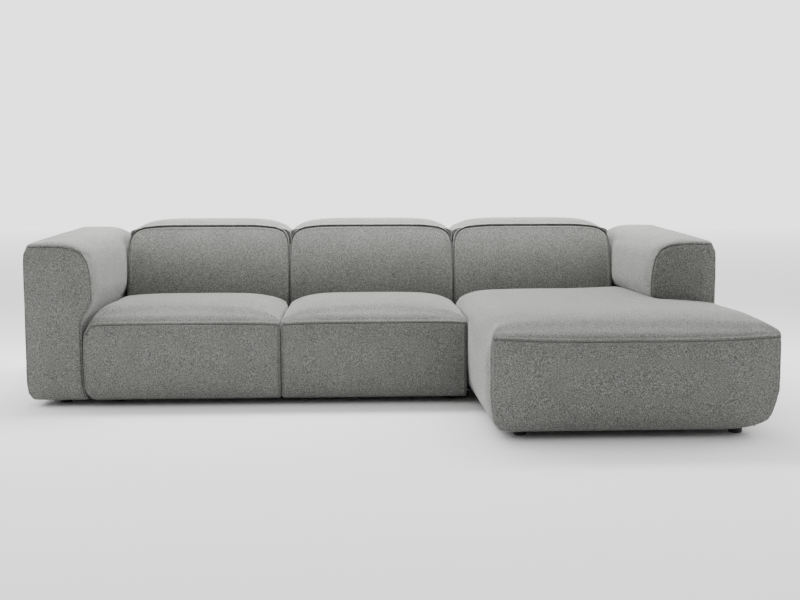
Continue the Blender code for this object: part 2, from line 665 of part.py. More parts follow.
def add_back(name, low_x, high_x):
    span = ((low_x, SEAT_BACK, BACK_BOTTOM), (high_x, CUSHION_REAR, BACK_SEAM_HEIGHT))
    radii = ((BACK_RADII["side"], BACK_RADII["side"]), (BACK_RADII["front"], 0),
             (BACK_RADII["bottom"], BACK_RADII["top"]))
    height_shares = shares_of((LEAN_FOOT, (LEAN_FOOT + BACK_SEAM_HEIGHT) / 2),
                              BACK_BOTTOM, BACK_SEAM_HEIGHT)
    cover = loaf(f"back_cover_{name}", span, radii, (BACK_X_SHARES, (), height_shares), back_form)
    headrest_space = ((low_x - OVERRUN, HEADREST_FRONT - NOSE_CLEARANCE, BEAM_TOP),
                      (high_x + OVERRUN, REAR, BACK_SEAM_HEIGHT + OVERRUN))
    core = ((low_x + CORE_WALL, CUSHION_REAR - CORE_THICKNESS, BACK_BOTTOM + CORE_ABOVE_BACK_BOTTOM),
            (high_x - CORE_WALL, CUSHION_REAR, BACK_SEAM_HEIGHT - CORE_BELOW_BACK_SEAM))
    pocket = (core[0], (core[1][0], CUSHION_REAR + OVERRUN, core[1][2]))
    cut_boxes(cover, [headrest_space, grown(pocket, TOUCH)])
    boxes(f"back_core_{name}", [core], "foam")


def add_back_frame(name, x_span, gable_places):
    low_x, high_x = x_span
    bottom, front, rear = RAIL_TOP + TOUCH, BACK_FRAME_FRONT, FRAME_REAR
    beam = ((low_x, front, BEAM_TOP - BEAM_HEIGHT), (high_x, front + BEAM_DEPTH, BEAM_TOP))
    low_rail = ((low_x, front, bottom), (high_x, front + BOARD, bottom + BEAM_HEIGHT))
    rear_rails = [((low_x, rear - BOARD, z), (high_x, rear, z + BEAM_HEIGHT))
                  for z in (bottom, BEAM_TOP - BEAM_HEIGHT)]
    inset = BATTEN_INSET
    gables = [((x, front + inset, bottom + inset), (x + GABLE, rear - inset, BEAM_TOP - inset))
              for x in gable_places]
    jointed(f"back_frame_{name}", [beam, low_rail] + rear_rails, gables, "timber")


def add_rear_cover(name, low_x, high_x, frame_span):
    span = ((low_x, DECK_FRONT, UNDERSIDE), (high_x, REAR, UNDER_HEADREST))
    radii = ((REAR_COVER_RADII["side"], REAR_COVER_RADII["side"]), (0, REAR_COVER_RADII["rear"]),
             (REAR_COVER_RADII["bottom"], REAR_COVER_RADII["top"]))
    cover = loaf(f"rear_cover_{name}", span, radii, ((), (), ()), unshaped)
    hollow = ((frame_span[0], SEAT_BACK, UNDERSIDE - OVERRUN), (frame_span[1], FRAME_REAR, BEAM_TOP))
    cut_boxes(cover, [grown(hollow, TOUCH)])


def add_backs():
    add_back("left", -BACK_OUTER, BOUNDARIES[1] - TOUCH)
    add_back("middle", BOUNDARIES[1] + TOUCH, BOUNDARIES[2] - TOUCH)
    add_back("right", BOUNDARIES[2] + TOUCH, BACK_OUTER)
    inset = BATTEN_INSET
    low_x, high_x = SOFA_FRAME
    add_back_frame("two_seat", SOFA_FRAME,
                   (low_x + inset, BOUNDARIES[1] - GABLE / 2, high_x - inset - GABLE))
    low_x, high_x = CHAISE_FRAME
    add_back_frame("chaise", CHAISE_FRAME, (low_x + inset, high_x - inset - GABLE))
    add_rear_cover("two_seat", -BACK_OUTER, BOUNDARIES[2] - TOUCH, SOFA_FRAME)
    add_rear_cover("chaise", BOUNDARIES[2] + TOUCH, BACK_OUTER, CHAISE_FRAME)


# Headrests

HEADREST_RADII = {"side": 0.060, "rear": 0.050, "bottom": 0.030, "top": 0.035}
HEADREST_SIDE_DROP = 0.022
HEADREST_X_SHARES = (0.25, 0.75)
LEVEL_BEHIND_AXIS = 0.028
CREST_BEHIND_AXIS = 0.095
PAD_GAP = 0.002
BOARD_BEHIND_AXIS = 0.045
BOARD_END_PADDING = 0.092
BOARD_REAR_PADDING = 0.043


def headrest_form(shares, point):
    """Level with the back's seam round the axis, so that it turns freely, then rising."""
    climb = (point.y - AXIS_Y - LEVEL_BEHIND_AXIS) / (CREST_BEHIND_AXIS - LEVEL_BEHIND_AXIS)
    nose_drop = (HEADREST_RISE - NOSE_RADIUS) * (1 - min(max(climb, 0), 1))
    drop = max(nose_drop, HEADREST_SIDE_DROP * edge(shares[0]))
    return (0, 0, -drop * upper(shares[2]))


def hinge_plate(bm, x_span, foot):
    """The convex strap between the eye round the axis and a foot block."""
    centre = ((x_span[0] + x_span[1]) / 2, AXIS_Y, AXIS_HEIGHT)
    verts = add_disc(bm, centre, EYE_RADIUS, x_span[1] - x_span[0], "X", HINGE_SIDES)
    low, high = foot
    verts = verts + add_cube(bm, (x_span[0], *low), (x_span[1], *high))
    hull = bmesh.ops.convex_hull(bm, input=verts)
    spare = [item for item in hull["geom_interior"] + hull["geom_unused"] + hull["geom_holes"]
             if isinstance(item, bmesh.types.BMVert) and item.is_valid]
    bmesh.ops.delete(bm, geom=list(set(spare)), context="VERTS")
    bmesh.ops.dissolve_limit(bm, angle_limit=pi / 180, verts=bm.verts, edges=bm.edges)


def add_plate(name, x_span, foot):
    bm = bmesh.new()
    hinge_plate(bm, x_span, foot)
    return add_object(name, mesh_of(bm, name), "steel")


def add_hinge(name, x):
    """A fixed bracket with its pin, and beside it the leaf that turns on the pin."""
    half_gap = HINGE_CLEARANCE / 2
    flange_z = BEAM_TOP + TOUCH
    foot_y = BACK_FRAME_FRONT + BRACKET_INSET
    foot = ((foot_y, flange_z), (foot_y + BRACKET_FOOT, flange_z + FLANGE))
    fixed_x = (x - half_gap - PLATE, x - half_gap)
    bracket = add_plate(f"headrest_bracket_{name}", fixed_x, foot)
    flange = ((fixed_x[0] - FLANGE_WIDTH, foot_y + BATTEN_INSET, flange_z),
              (fixed_x[1] - TOUCH, foot_y + BRACKET_FOOT - BATTEN_INSET, flange_z + FLANGE - TOUCH))
    boolean(bracket, boxes(f"{name}_bracket_flange", [flange]), "UNION")
    pin_span = (fixed_x[0] + TOUCH, x + half_gap + PLATE + PIN_TAIL)
    pin_centre = (sum(pin_span) / 2, AXIS_Y, AXIS_HEIGHT)
    pin = discs(f"{name}_pin", [pin_centre], PIN_RADIUS, pin_span[1] - pin_span[0], "X", HINGE_SIDES)
    boolean(bracket, pin, "UNION")

    leaf_x = (x + half_gap, x + half_gap + PLATE)
    bottom = AXIS_HEIGHT - EYE_RADIUS
    tail = ((AXIS_Y + LEAF_LENGTH - LEAF_DEPTH, bottom), (AXIS_Y + LEAF_LENGTH, bottom + LEAF_DEPTH))
    leaf = add_plate(f"headrest_leaf_{name}", leaf_x, tail)
    board_y = AXIS_Y + BOARD_BEHIND_AXIS
    leaf_flange = ((leaf_x[0] + TOUCH, board_y, bottom + TOUCH),
                   (leaf_x[1] + FLANGE_WIDTH, AXIS_Y + LEAF_LENGTH - BATTEN_INSET, bottom + FLANGE))
    boolean(leaf, boxes(f"{name}_leaf_flange", [leaf_flange]), "UNION")
    eye = discs(f"{name}_eye", [pin_centre], PIN_RADIUS + HINGE_CLEARANCE, OVERRUN, "X", HINGE_SIDES)
    cut(leaf, eye)


def add_headrest(name, low_x, high_x):
    low_x, high_x = low_x + PAD_GAP, high_x - PAD_GAP
    span = ((low_x, HEADREST_FRONT, HEADREST_BOTTOM), (high_x, REAR - PAD_GAP, HEADREST_HEIGHT))
    radii = ((HEADREST_RADII["side"], HEADREST_RADII["side"]), (NOSE_RADIUS, HEADREST_RADII["rear"]),
             (HEADREST_RADII["bottom"], HEADREST_RADII["top"]))
    rise_lines = (AXIS_Y + LEVEL_BEHIND_AXIS, AXIS_Y + CREST_BEHIND_AXIS)
    inner_shares = (HEADREST_X_SHARES, shares_of(rise_lines, HEADREST_FRONT, REAR - PAD_GAP), ())
    pad = loaf(f"headrest_pad_{name}", span, radii, inner_shares, headrest_form)
    board_top = AXIS_HEIGHT - EYE_RADIUS - TOUCH
    board = ((low_x + BOARD_END_PADDING, AXIS_Y + BOARD_BEHIND_AXIS, board_top - PLYWOOD),
             (high_x - BOARD_END_PADDING, REAR - BOARD_REAR_PADDING, board_top))
    boxes(f"headrest_board_{name}", [board], "timber")
    pockets = [grown(board, TOUCH)]
    for side, x in (("left", board[0][0] + HINGE_INSET), ("right", board[1][0] - HINGE_INSET)):
        add_hinge(f"{name}_{side}", x)
        pockets.append(((x - HALF_POCKET, HEADREST_FRONT - OVERRUN, HEADREST_BOTTOM - OVERRUN),
                        (x + HALF_POCKET, AXIS_Y + LEAF_LENGTH + SOFT_GAP,
                         AXIS_HEIGHT + EYE_RADIUS + SOFT_GAP)))
    cut_boxes(pad, pockets)


def add_headrests():
    add_headrest("left", -BACK_OUTER, BOUNDARIES[1])
    add_headrest("middle", BOUNDARIES[1], BOUNDARIES[2])
    add_headrest("right", BOUNDARIES[2], BACK_OUTER)


add_links()
add_arms()
add_seats()
add_chaise()
add_backs()
add_headrests()
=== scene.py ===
# %% [markdown]
# # A corner sofa with padded covers
#
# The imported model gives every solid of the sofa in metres, with the origin on the
# floor and +Y at the rear. This script dresses it. The hard parts keep their shape
# and get a finish, and each soft solid is replaced by a padded form with its seams.

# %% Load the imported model
from math import cos, pi, sin, sqrt

import bpy
from mathutils import Matrix, Vector
from mathutils.kdtree import KDTree


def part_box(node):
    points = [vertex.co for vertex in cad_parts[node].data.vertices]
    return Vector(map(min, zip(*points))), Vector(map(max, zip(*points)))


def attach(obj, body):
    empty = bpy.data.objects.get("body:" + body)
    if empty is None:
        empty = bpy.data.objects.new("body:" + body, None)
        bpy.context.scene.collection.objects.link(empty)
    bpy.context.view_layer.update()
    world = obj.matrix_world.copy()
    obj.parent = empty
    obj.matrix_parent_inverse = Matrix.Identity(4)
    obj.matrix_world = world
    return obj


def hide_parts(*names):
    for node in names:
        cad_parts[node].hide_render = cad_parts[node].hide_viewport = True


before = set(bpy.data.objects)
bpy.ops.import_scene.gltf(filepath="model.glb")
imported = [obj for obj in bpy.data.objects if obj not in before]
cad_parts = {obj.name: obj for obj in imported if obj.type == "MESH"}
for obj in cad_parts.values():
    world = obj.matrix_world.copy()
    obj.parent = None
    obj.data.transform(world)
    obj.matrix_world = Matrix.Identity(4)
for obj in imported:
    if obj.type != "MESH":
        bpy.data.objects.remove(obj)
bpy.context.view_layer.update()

# %% [markdown]
# ## The camera
#
# The photograph was taken from the front, a little left of the middle and about as
# high as the sofa's back, with a lens of about 47 mm on a 36 mm sensor. The camera
# is turned by two angles and a slight roll, which were fitted to the seams. It could
# be aimed with a Track To constraint, but a matrix keeps the roll as well.

# %% Set up the camera
CAMERA_PLACE = Vector((-0.08, -4.5913, 0.8802))
CAMERA_TURN, CAMERA_DIP, CAMERA_ROLL = 0.0426, 0.0959, -0.0025
LENS = 47.0

ahead = Vector((sin(CAMERA_TURN) * cos(CAMERA_DIP),
                cos(CAMERA_TURN) * cos(CAMERA_DIP), -sin(CAMERA_DIP)))
level_right = Vector((cos(CAMERA_TURN), -sin(CAMERA_TURN), 0))
level_up = level_right.cross(ahead)
right = cos(CAMERA_ROLL) * level_right + sin(CAMERA_ROLL) * level_up
up = cos(CAMERA_ROLL) * level_up - sin(CAMERA_ROLL) * level_right

bpy.ops.object.camera_add(location=CAMERA_PLACE)
camera = bpy.context.object
camera.matrix_world = (Matrix.Translation(CAMERA_PLACE)
                       @ Matrix((right, up, -ahead)).transposed().to_4x4())
camera.data.lens = LENS
bpy.context.scene.camera = camera
print("camera at", tuple(round(value, 3) for value in camera.location))

# %% [markdown]
# ## Writing materials as sums
#
# A procedural material is a chain of nodes. Wiring them by hand takes many lines, so
# a small class wraps a socket and lets Python's own signs add the Math nodes. Any other
# node comes from one method, which sets it up and then feeds its sockets.

# %% A socket that can be added, subtracted and multiplied
class Value:
    def __init__(self, tree, socket):
        self.tree = tree
        self.socket = socket

    def _math(self, operation, first, second):
        node = self.tree.nodes.new("ShaderNodeMath")
        node.operation = operation
        for socket, value in zip(node.inputs, (first, second)):
            feed(self.tree, socket, value)
        return Value(self.tree, node.outputs[0])

    def __add__(self, other):
        return self._math("ADD", self, other)

    __radd__ = __add__

    def __sub__(self, other):
        return self._math("SUBTRACT", self, other)

    def __rsub__(self, other):
        return self._math("SUBTRACT", other, self)

    def __mul__(self, other):
        return self._math("MULTIPLY", self, other)

    __rmul__ = __mul__


def feed(tree, socket, value):
    """Links a Value to a socket, or sets a plain number or colour there."""
    if isinstance(value, Value):
        tree.links.new(value.socket, socket)
    else:
        socket.default_value = value


print("sockets ready")


# %% A material whose nodes are added by name
class Finish:
    """A Principled material; its place is in object coordinates."""

    def __init__(self, name, roughness, constants=None):
        self.material = bpy.data.materials.new(name)
        self.material.use_nodes = True
        self.tree = self.material.node_tree
        self.shader = self.tree.nodes["Principled BSDF"]
        self.roughness(roughness)
        for socket, value in (constants or {}).items():
            self.feed_shader(socket, value)
        self.place = self.node("TexCoord", output="Object")

    def feed_shader(self, socket, value):
        feed(self.tree, self.shader.inputs[socket], value)

    def node(self, kind, settings=None, output=0, **sockets):
        node = self.tree.nodes.new("ShaderNode" + kind)
        for key, value in (settings or {}).items():
            setattr(node, key, value)
        for key, value in sockets.items():
            feed(self.tree, node.inputs[key.replace("_", " ")], value)
        return Value(self.tree, node.outputs[output])

    def stretched(self, scale):
        """Object coordinates, stretched along some axes."""
        return self.node("Mapping", Vector=self.place, Scale=scale)

    def noise(self, scale, detail=2.0, roughness=0.5, place=None):
        return self.node("TexNoise", Vector=place or self.place, Scale=scale,
                         Detail=detail, Roughness=roughness)

    def ramp(self, value, stops):
        """Colours along a value; stops are (place, (r, g, b))."""
        made = self.node("ValToRGB", Fac=value)
        ramp = made.socket.node.color_ramp
        for (place, colour), stop in zip(stops, ramp.elements):
            stop.position, stop.color = place, (*colour, 1)
        for place, colour in stops[2:]:
            ramp.elements.new(place).color = (*colour, 1)
        return made

    def blend(self, factor, first, second):
        """Mixes two colours, which a Mix node has at 6 and 7."""
        node = self.tree.nodes.new("ShaderNodeMix")
        node.data_type = "RGBA"
        for number, value in ((0, factor), (6, first), (7, (*second, 1))):
            feed(self.tree, node.inputs[number], value)
        return Value(self.tree, node.outputs[2])

    def colour(self, value):
        self.feed_shader("Base Color", value)

    def roughness(self, value):
        self.feed_shader("Roughness", value)

    def bump(self, height, distance, strength=1.0):
        made = self.node("Bump", Height=height, Distance=distance, Strength=strength)
        self.feed_shader("Normal", made)


print("materials ready")

# %% [markdown]
# ## Floor and studio light
#
# In the photograph the backdrop is the brightest thing, the tops and the inner sides
# of the arms are light, and the front panels are the darkest. So the surroundings are
# bright behind the sofa and dimmer on the camera's side, a long lamp hangs low over
# the backs, so that the tops get less of it towards the front, and two lamps stand at
# the ends, level with the backs, where they miss the fronts. Far behind the sofa the
# floor glows a little itself, so that its edge melts into the surroundings.
# Area lamps give soft shadows, where sun lamps would draw hard ones.

# %% Lay the floor
FLOOR_SIZE = 60.0
FLOOR_COLOUR = (0.93, 0.93, 0.93, 1)
GLOW_START, GLOW_END, FAR_GLOW = 2.0, 30.0, 1.3


def floor_finish():
    """Matt white whose glow grows towards its far edge."""
    sweep = Finish("pale_sweep", 0.9, {"Base Color": FLOOR_COLOUR, "Emission Strength": 1.0})
    behind = sweep.node("SeparateXYZ", Vector=sweep.place, output="Y")
    sweep.feed_shader("Emission Color", sweep.node(
        "MapRange", Value=behind, From_Min=GLOW_START, From_Max=GLOW_END, To_Max=FAR_GLOW))
    return sweep.material


bpy.ops.mesh.primitive_plane_add(size=FLOOR_SIZE)
floor = bpy.context.object
floor.name = "studio_floor"
floor.data.materials.append(floor_finish())
print("floor", FLOOR_SIZE, "m wide")


# %% Hang the lamps
def hang_lamp(name, place, aim, size, power, depth=None):
    """An area lamp that points at a spot; its depth is its size unless given."""
    bpy.ops.object.light_add(type="AREA", location=place)
    lamp = bpy.context.object
    lamp.name = lamp.data.name = name
    lamp.data.shape = "RECTANGLE"
    lamp.data.size, lamp.data.size_y = size, depth or size
    lamp.data.energy = power
    lamp.rotation_euler = (Vector(aim) - Vector(place)).to_track_quat("-Z", "Y").to_euler()


hang_lamp("overhead_lamp", (0, 0.75, 1.9), (0, 0.75, 0), 3.4, 105, depth=0.5)
hang_lamp("left_lamp", (-4.2, 0.5, 2.4), (0.3, -0.1, 0.4), 2.2, 95)
hang_lamp("right_lamp", (4.2, 0.5, 2.2), (-0.3, 0.1, 0.4), 2.2, 75)

# %% Light the surroundings, brighter behind the sofa
FRONT_GLOW, REAR_GLOW = 0.62, 2.5
FRONT_END, REAR_END = -0.4, 0.8
RISE_IN_GLOW = 0.1

studio = bpy.data.worlds.new("studio")
bpy.context.scene.world = studio
studio.use_nodes = True
sky_nodes, sky_links = studio.node_tree.nodes, studio.node_tree.links
direction = sky_nodes.new("ShaderNodeTexCoord")
split = sky_nodes.new("ShaderNodeSeparateXYZ")
sky_links.new(direction.outputs["Generated"], split.inputs["Vector"])


def glow_along(axis, first, last, low, high):
    """A strength that changes with the direction's share of one axis."""
    node = sky_nodes.new("ShaderNodeMapRange")
    for socket, value in (("From Min", first), ("From Max", last), ("To Min", low), ("To Max", high)):
        node.inputs[socket].default_value = value
    sky_links.new(split.outputs[axis], node.inputs["Value"])
    return node.outputs["Result"]


whole = sky_nodes.new("ShaderNodeMath")
whole.operation = "MULTIPLY"
sky_links.new(glow_along("Y", FRONT_END, REAR_END, FRONT_GLOW, REAR_GLOW), whole.inputs[0])
sky_links.new(glow_along("Z", 0, 1, 1, 1 + RISE_IN_GLOW), whole.inputs[1])
sky_links.new(whole.outputs[0], sky_nodes["Background"].inputs["Strength"])
sky_nodes["Background"].inputs["Color"].default_value = (1, 1, 1, 1)
print("glow from", FRONT_GLOW, "to", REAR_GLOW)

# %% [markdown]
# ## Heathered upholstery cloth
#
# The cover is a thick chenille in greys: light and dark yarns are spun together, so
# small flecks of both lie over a middle grey, and the yarns run in short horizontal
# and vertical dashes. Worley noise would give round grains, so stretched noise in two
# directions is used instead. A little sheen stands for the fuzz on the yarn.
# The cloth in each seam's groove is painted darker, towards the dark yarn: this is painted shade,
# where the recess gets less light.

# %% Mix the cover cloth
CLOTH_MIDDLE = (0.150, 0.152, 0.143)
CLOTH_DARK = (0.055, 0.056, 0.052)
CLOTH_LIGHT = (0.330, 0.332, 0.315)
YARN, FLECK, PATCH = 520.0, 260.0, 9.0
YARN_SHARE, FLECK_SHARE, PATCH_SHARE = 1.6, 1.3, 0.12
# How far the colour in a seam's groove is painted darker: painted shade.
SEAM_SHADE = 0.62


def cover_cloth():
    cloth = Finish("heathered_cover_cloth", 0.92,
                   {"Sheen Weight": 0.40, "Sheen Roughness": 0.24, "Specular IOR Level": 0.2})
    along = cloth.noise(YARN, detail=1.5, place=cloth.stretched((0.35, 0.6, 1.0)))
    across = cloth.noise(YARN, detail=1.5, place=cloth.stretched((1.0, 0.6, 0.35)))
    fleck = cloth.noise(FLECK, detail=3.0, roughness=0.6)
    patch = cloth.noise(PATCH, detail=3.0)
    yarn = along * 0.5 + across * 0.5
    tone = ((yarn - 0.5) * YARN_SHARE + (fleck - 0.5) * FLECK_SHARE
            + (patch - 0.5) * PATCH_SHARE + 0.5)
    cloth_colour = cloth.ramp(tone, [(0.12, CLOTH_DARK), (0.88, CLOTH_LIGHT), (0.5, CLOTH_MIDDLE)])
    # Painted shade: the seam mask darkens the colour in each seam's groove towards the dark yarn.
    seam = cloth.node("Attribute", {"attribute_name": "seam_shade_mask"}, output="Fac")
    cloth.colour(cloth.blend(seam * SEAM_SHADE, cloth_colour, CLOTH_DARK))
    cloth.bump(yarn * 0.7 + fleck * 0.5, 0.0014, 0.8)
    return cloth.material


COVER_CLOTH = cover_cloth()
print("mixed", COVER_CLOTH.name)

# %% [markdown]
# ## A padded form
#
# Every unit of this sofa is a loaf: a box with rounded edges whose top and sides roll
# into a front panel that is sewn on. A box primitive is cut by lines into a cage, each
# vertex is rolled over the edges that are round and moved by the form's own rule, and
# subdivision smooths it. The panel's border stays a crease, because that is the seam.
# Bevels alone would give every edge one radius and would leave the top flat.

# %% Choose objects and add a block
def deselect():
    bpy.ops.object.select_all(action="DESELECT")


def choose(piece):
    """Selects the piece alone and makes it active."""
    deselect()
    piece.select_set(True)
    bpy.context.view_layer.objects.active = piece


def put_in_scene(name, data):
    """A new object that holds the data, already chosen."""
    piece = bpy.data.objects.new(name, data)
    bpy.context.scene.collection.objects.link(piece)
    choose(piece)
    return piece


def block(name, low, high):
    """A box primitive between two corners, with its place in its mesh."""
    deselect()
    low, high = Vector(low), Vector(high)
    bpy.ops.mesh.primitive_cube_add(size=1, location=(low + high) / 2, scale=high - low)
    piece = bpy.context.object
    piece.name = piece.data.name = name
    bpy.ops.object.transform_apply()
    return piece


print("blocks ready")

# %% Cut a box into a cage
X, Y, Z = 0, 1, 2
LINE_SPACING, CLOSEST_LINES = 0.1, 0.008
BORDER, PAST_BORDER = 0.022, 0.055
CORNER_SHARES = (1.0, 0.35)
EXACT = 1e-5


def cage_lines(low, high, wanted):
    """The wanted places, and more wherever two of them are far apart."""
    kept = []
    for place in sorted(wanted):
        if place - (kept[-1] if kept else low) > CLOSEST_LINES and high - place > CLOSEST_LINES:
            kept.append(place)
    lines = []
    for start, end in zip([low] + kept, kept + [high]):
        parts = max(1, round((end - start) / LINE_SPACING))
        lines += [start + (end - start) * part / parts for part in range(1, parts)]
        lines.append(end)
    return lines[:-1]


def cage(name, low, high, edges, lines):
    """A box cut along lines on three axes, close together where its edges are round."""
    wanted = [list(places) for places in lines]
    for axis, side, radius in (part for edge in edges for part in edge):
        end = high[axis] if side > 0 else low[axis]
        wanted[axis] += [end - side * radius * share for share in CORNER_SHARES]
    piece = block(name, low, high)
    bpy.ops.object.mode_set(mode="EDIT")
    for axis in (X, Y, Z):
        normal = Vector((axis == X, axis == Y, axis == Z))
        for place in cage_lines(low[axis], high[axis], wanted[axis]):
            bpy.ops.mesh.select_all(action="SELECT")
            bpy.ops.mesh.bisect(plane_co=normal * place, plane_no=normal)
    bpy.ops.object.mode_set(mode="OBJECT")
    return piece


print("lines at most", LINE_SPACING, "m apart")

# %% Subdivide with a creased seam
ON_SEAM = 0.999


def apply_all(piece):
    choose(piece)
    for step in list(piece.modifiers):
        bpy.ops.object.modifier_apply(modifier=step.name)


def seam_vertices(piece, least=ON_SEAM):
    """The vertices on the seam, or near it where the least weight is lower."""
    if "seam" not in piece.vertex_groups:
        return set()
    number = piece.vertex_groups["seam"].index
    return {vertex.index for vertex in piece.data.vertices
            if any(group.group == number and group.weight > least for group in vertex.groups)}


def seam_edges(piece):
    seam = seam_vertices(piece)
    return [edge for edge in piece.data.edges if seam.issuperset(edge.vertices)]


def subdivide(piece, levels):
    """Subdivides the piece and keeps its seam sharp."""
    for _ in range(levels):
        creased = seam_edges(piece)
        if "crease_edge" not in piece.data.attributes:
            piece.data.attributes.new("crease_edge", "FLOAT", "EDGE")
        crease = piece.data.attributes["crease_edge"].data
        crease.foreach_set("value", [0.0] * len(crease))
        for edge in creased:
            crease[edge.index].value = 1.0
        step = piece.modifiers.new("round", "SUBSURF")
        step.levels = step.render_levels = 1
        apply_all(piece)


print("creased from weight", ON_SEAM)

# %% Curves for a smooth change
CROWN_POWER = 4


def clamp(value):
    return min(max(value, 0), 1)


def ease(value):
    """0 below 0, 1 above 1, and smooth between."""
    value = clamp(value)
    return value * value * (3 - 2 * value)


def fall(distance, reach):
    """1 at an edge, easing to 0 at the reach."""
    return clamp(1 - distance / reach) ** 2


def crown(place, low, high):
    """0 at the middle between two places, 1 at both of them."""
    return abs(2 * (place - low) / (high - low) - 1) ** CROWN_POWER


def upper(place, low, high):
    return clamp(2 * (place - low) / (high - low) - 1)


def lower(place, low, high):
    return clamp(1 - 2 * (place - low) / (high - low))


print("crown", [round(crown(place / 4, -1, 1), 3) for place in range(5)])

# %% Roll points over edges and into the front
OUTWARD_POWER = 3


def roll(point, low, high, edge):
    """Rolls a point over one rounded edge, given as two (axis, side, radius)."""
    centres = [high[axis] - radius if side > 0 else low[axis] + radius for axis, side, radius in edge]
    reaches = [side * (point[axis] - centre) / radius
               for (axis, side, radius), centre in zip(edge, centres)]
    if min(reaches) <= 0:
        return point
    shrink = max(reaches) / sqrt(reaches[0] ** 2 + reaches[1] ** 2)
    moved = point.copy()
    for (axis, side, radius), centre, reach in zip(edge, centres, reaches):
        moved[axis] = centre + side * reach * shrink * radius
    return moved


def roll_front(point, low, high, front, dome):
    """How far a point moves where the sides roll into the domed front panel."""
    behind = point.y - low.y
    shift = Vector((0, 0, 0))
    for axis, side, inward, reach in front:
        share = clamp(1 - behind / reach)
        middle, half = (low[axis] + high[axis]) / 2, (high[axis] - low[axis]) / 2
        outward = clamp(side * (point[axis] - middle) / half)
        shift[axis] -= side * inward * (1 - sqrt(1 - share ** 2)) * outward ** OUTWARD_POWER
    border = max(crown(point.x, low.x, high.x), crown(point.z, low.z, high.z))
    shift.y += dome * border * clamp(1 - behind / PAST_BORDER)
    return shift


print("rolled", roll(Vector((1, 1, 1)), Vector(), Vector((1, 1, 1)), ((X, 1, 0.1), (Z, 1, 0.1))))

# %% Build a loaf
SQUARE_FRONT, SQUARE_REACH = 0.12, 0.16


def loaf(name, low, high, edges, form, lines=((), (), ()), front=(), square=(), dome=0):
    """A box with round edges; form(point) gives how far each point moves.

    front lists how the sides roll into a sewn panel, as (axis, side, inward, reach),
    and the edges in square are rounded less near that panel.
    """
    low, high = Vector(low), Vector(high)
    lines = [list(places) for places in lines]
    if front:
        lines[Y] += [low.y + BORDER, low.y + PAST_BORDER]
        for axis in (X, Z):
            lines[axis] += [low[axis] + BORDER, high[axis] - BORDER]
    piece = cage(name, low, high, list(edges) + list(square), lines)
    seam = []
    for vertex in piece.data.vertices:
        start = vertex.co.copy()
        if front and start.y < low.y + EXACT and (
                min(start.x - low.x, high.x - start.x, high.z - start.z) < EXACT):
            seam.append(vertex.index)
        point = start
        for edge in edges:
            point = roll(point, low, high, edge)
        for edge in square:
            share = SQUARE_FRONT + (1 - SQUARE_FRONT) * ease((start.y - low.y) / SQUARE_REACH)
            point = point.lerp(roll(point, low, high, edge), share)
        vertex.co = point + Vector(form(start)) + roll_front(start, low, high, front, dome)
    if seam:
        piece.vertex_groups.new(name="seam").add(seam, 1.0, "REPLACE")
    subdivide(piece, 2)
    return piece


print("square edges keep", SQUARE_FRONT, "near the front")

# %% [markdown]
# ## Filling the cover
#
# A real cover is sewn a little tight over foam and wadding, so each panel swells
# between its seams. The seams are held, and the cloth is blown up for twenty steps.
# A cap on the movement keeps every piece in its own space. Sculpting could do it too,
# but the cloth finds the swell by itself.

# %% Blow up a cover
SWELL_STEPS = 20
SWELL_PRESSURE = 4.0
HELD_WIDTH = 0.012


def swell(piece, cap, is_held):
    """Inflates the piece between its held parts, by at most the cap."""
    start = [vertex.co.copy() for vertex in piece.data.vertices]
    seam = seam_vertices(piece)
    held = [vertex.index for vertex in piece.data.vertices
            if vertex.index in seam or is_held(vertex.co)]
    piece.vertex_groups.new(name="held").add(held, 1.0, "REPLACE")
    step = piece.modifiers.new("filling", "CLOTH")
    settings = step.settings
    settings.quality = 4
    settings.mass = 0.4
    settings.tension_stiffness = settings.compression_stiffness = 12
    settings.shear_stiffness = 6
    settings.bending_stiffness = 1.5
    settings.use_pressure = True
    settings.uniform_pressure_force = SWELL_PRESSURE
    settings.effector_weights.gravity = 0
    settings.vertex_group_mass = "held"
    step.point_cache.frame_start, step.point_cache.frame_end = 1, SWELL_STEPS
    for moment in range(1, SWELL_STEPS + 1):
        bpy.context.scene.frame_set(moment)
    blown = piece.evaluated_get(bpy.context.evaluated_depsgraph_get()).data
    ends = [vertex.co.copy() for vertex in blown.vertices]
    piece.modifiers.remove(step)
    piece.vertex_groups.remove(piece.vertex_groups["held"])
    farthest = 0
    for vertex, old, new in zip(piece.data.vertices, start, ends):
        move = new - old
        farthest = max(farthest, move.length)
        vertex.co = old + move * min(1, cap / max(move.length, EXACT))
    bpy.context.scene.frame_set(1)
    print(f"{piece.name}: {len(start)} points, {len(held)} held, farthest {farthest * 1000:.0f} mm")


def fill(piece, cap, is_held):
    swell(piece, cap, is_held)
    subdivide(piece, 1)
    bpy.ops.object.shade_smooth()


print("filled in", SWELL_STEPS, "steps")

# %% [markdown]
# ## Seams
#
# Where two panels are sewn together, the stitching pulls the cloth in and the turned
# edges stand up a little on both sides. The vertices near the panel's border are moved
# by their distance from it, and a thin welt is laid in the groove.
# The groove also gets a mask, 1 on the seam and 0 at the groove's edge, with which the cloth paints
# shade into its colour there.

# %% Find the seam's path
GROOVE_DEPTH, GROOVE_HALF = 0.0090, 0.0052
LIP_RISE, LIP_END = 0.0016, 0.018
WELT_RADIUS, WELT_OUT = 0.0015, 0.0020
WELT_STEP = 0.008


def seam_path(piece):
    """The seam's vertices in order, from one end to the other."""
    joined = {}
    for first, second in (edge.vertices for edge in seam_edges(piece)):
        joined.setdefault(first, []).append(second)
        joined.setdefault(second, []).append(first)
    order = [min(index for index in joined if len(joined[index]) == 1)]
    while True:
        following = [index for index in joined[order[-1]] if index not in order[-2:]]
        if not following:
            return order
        order.append(following[0])


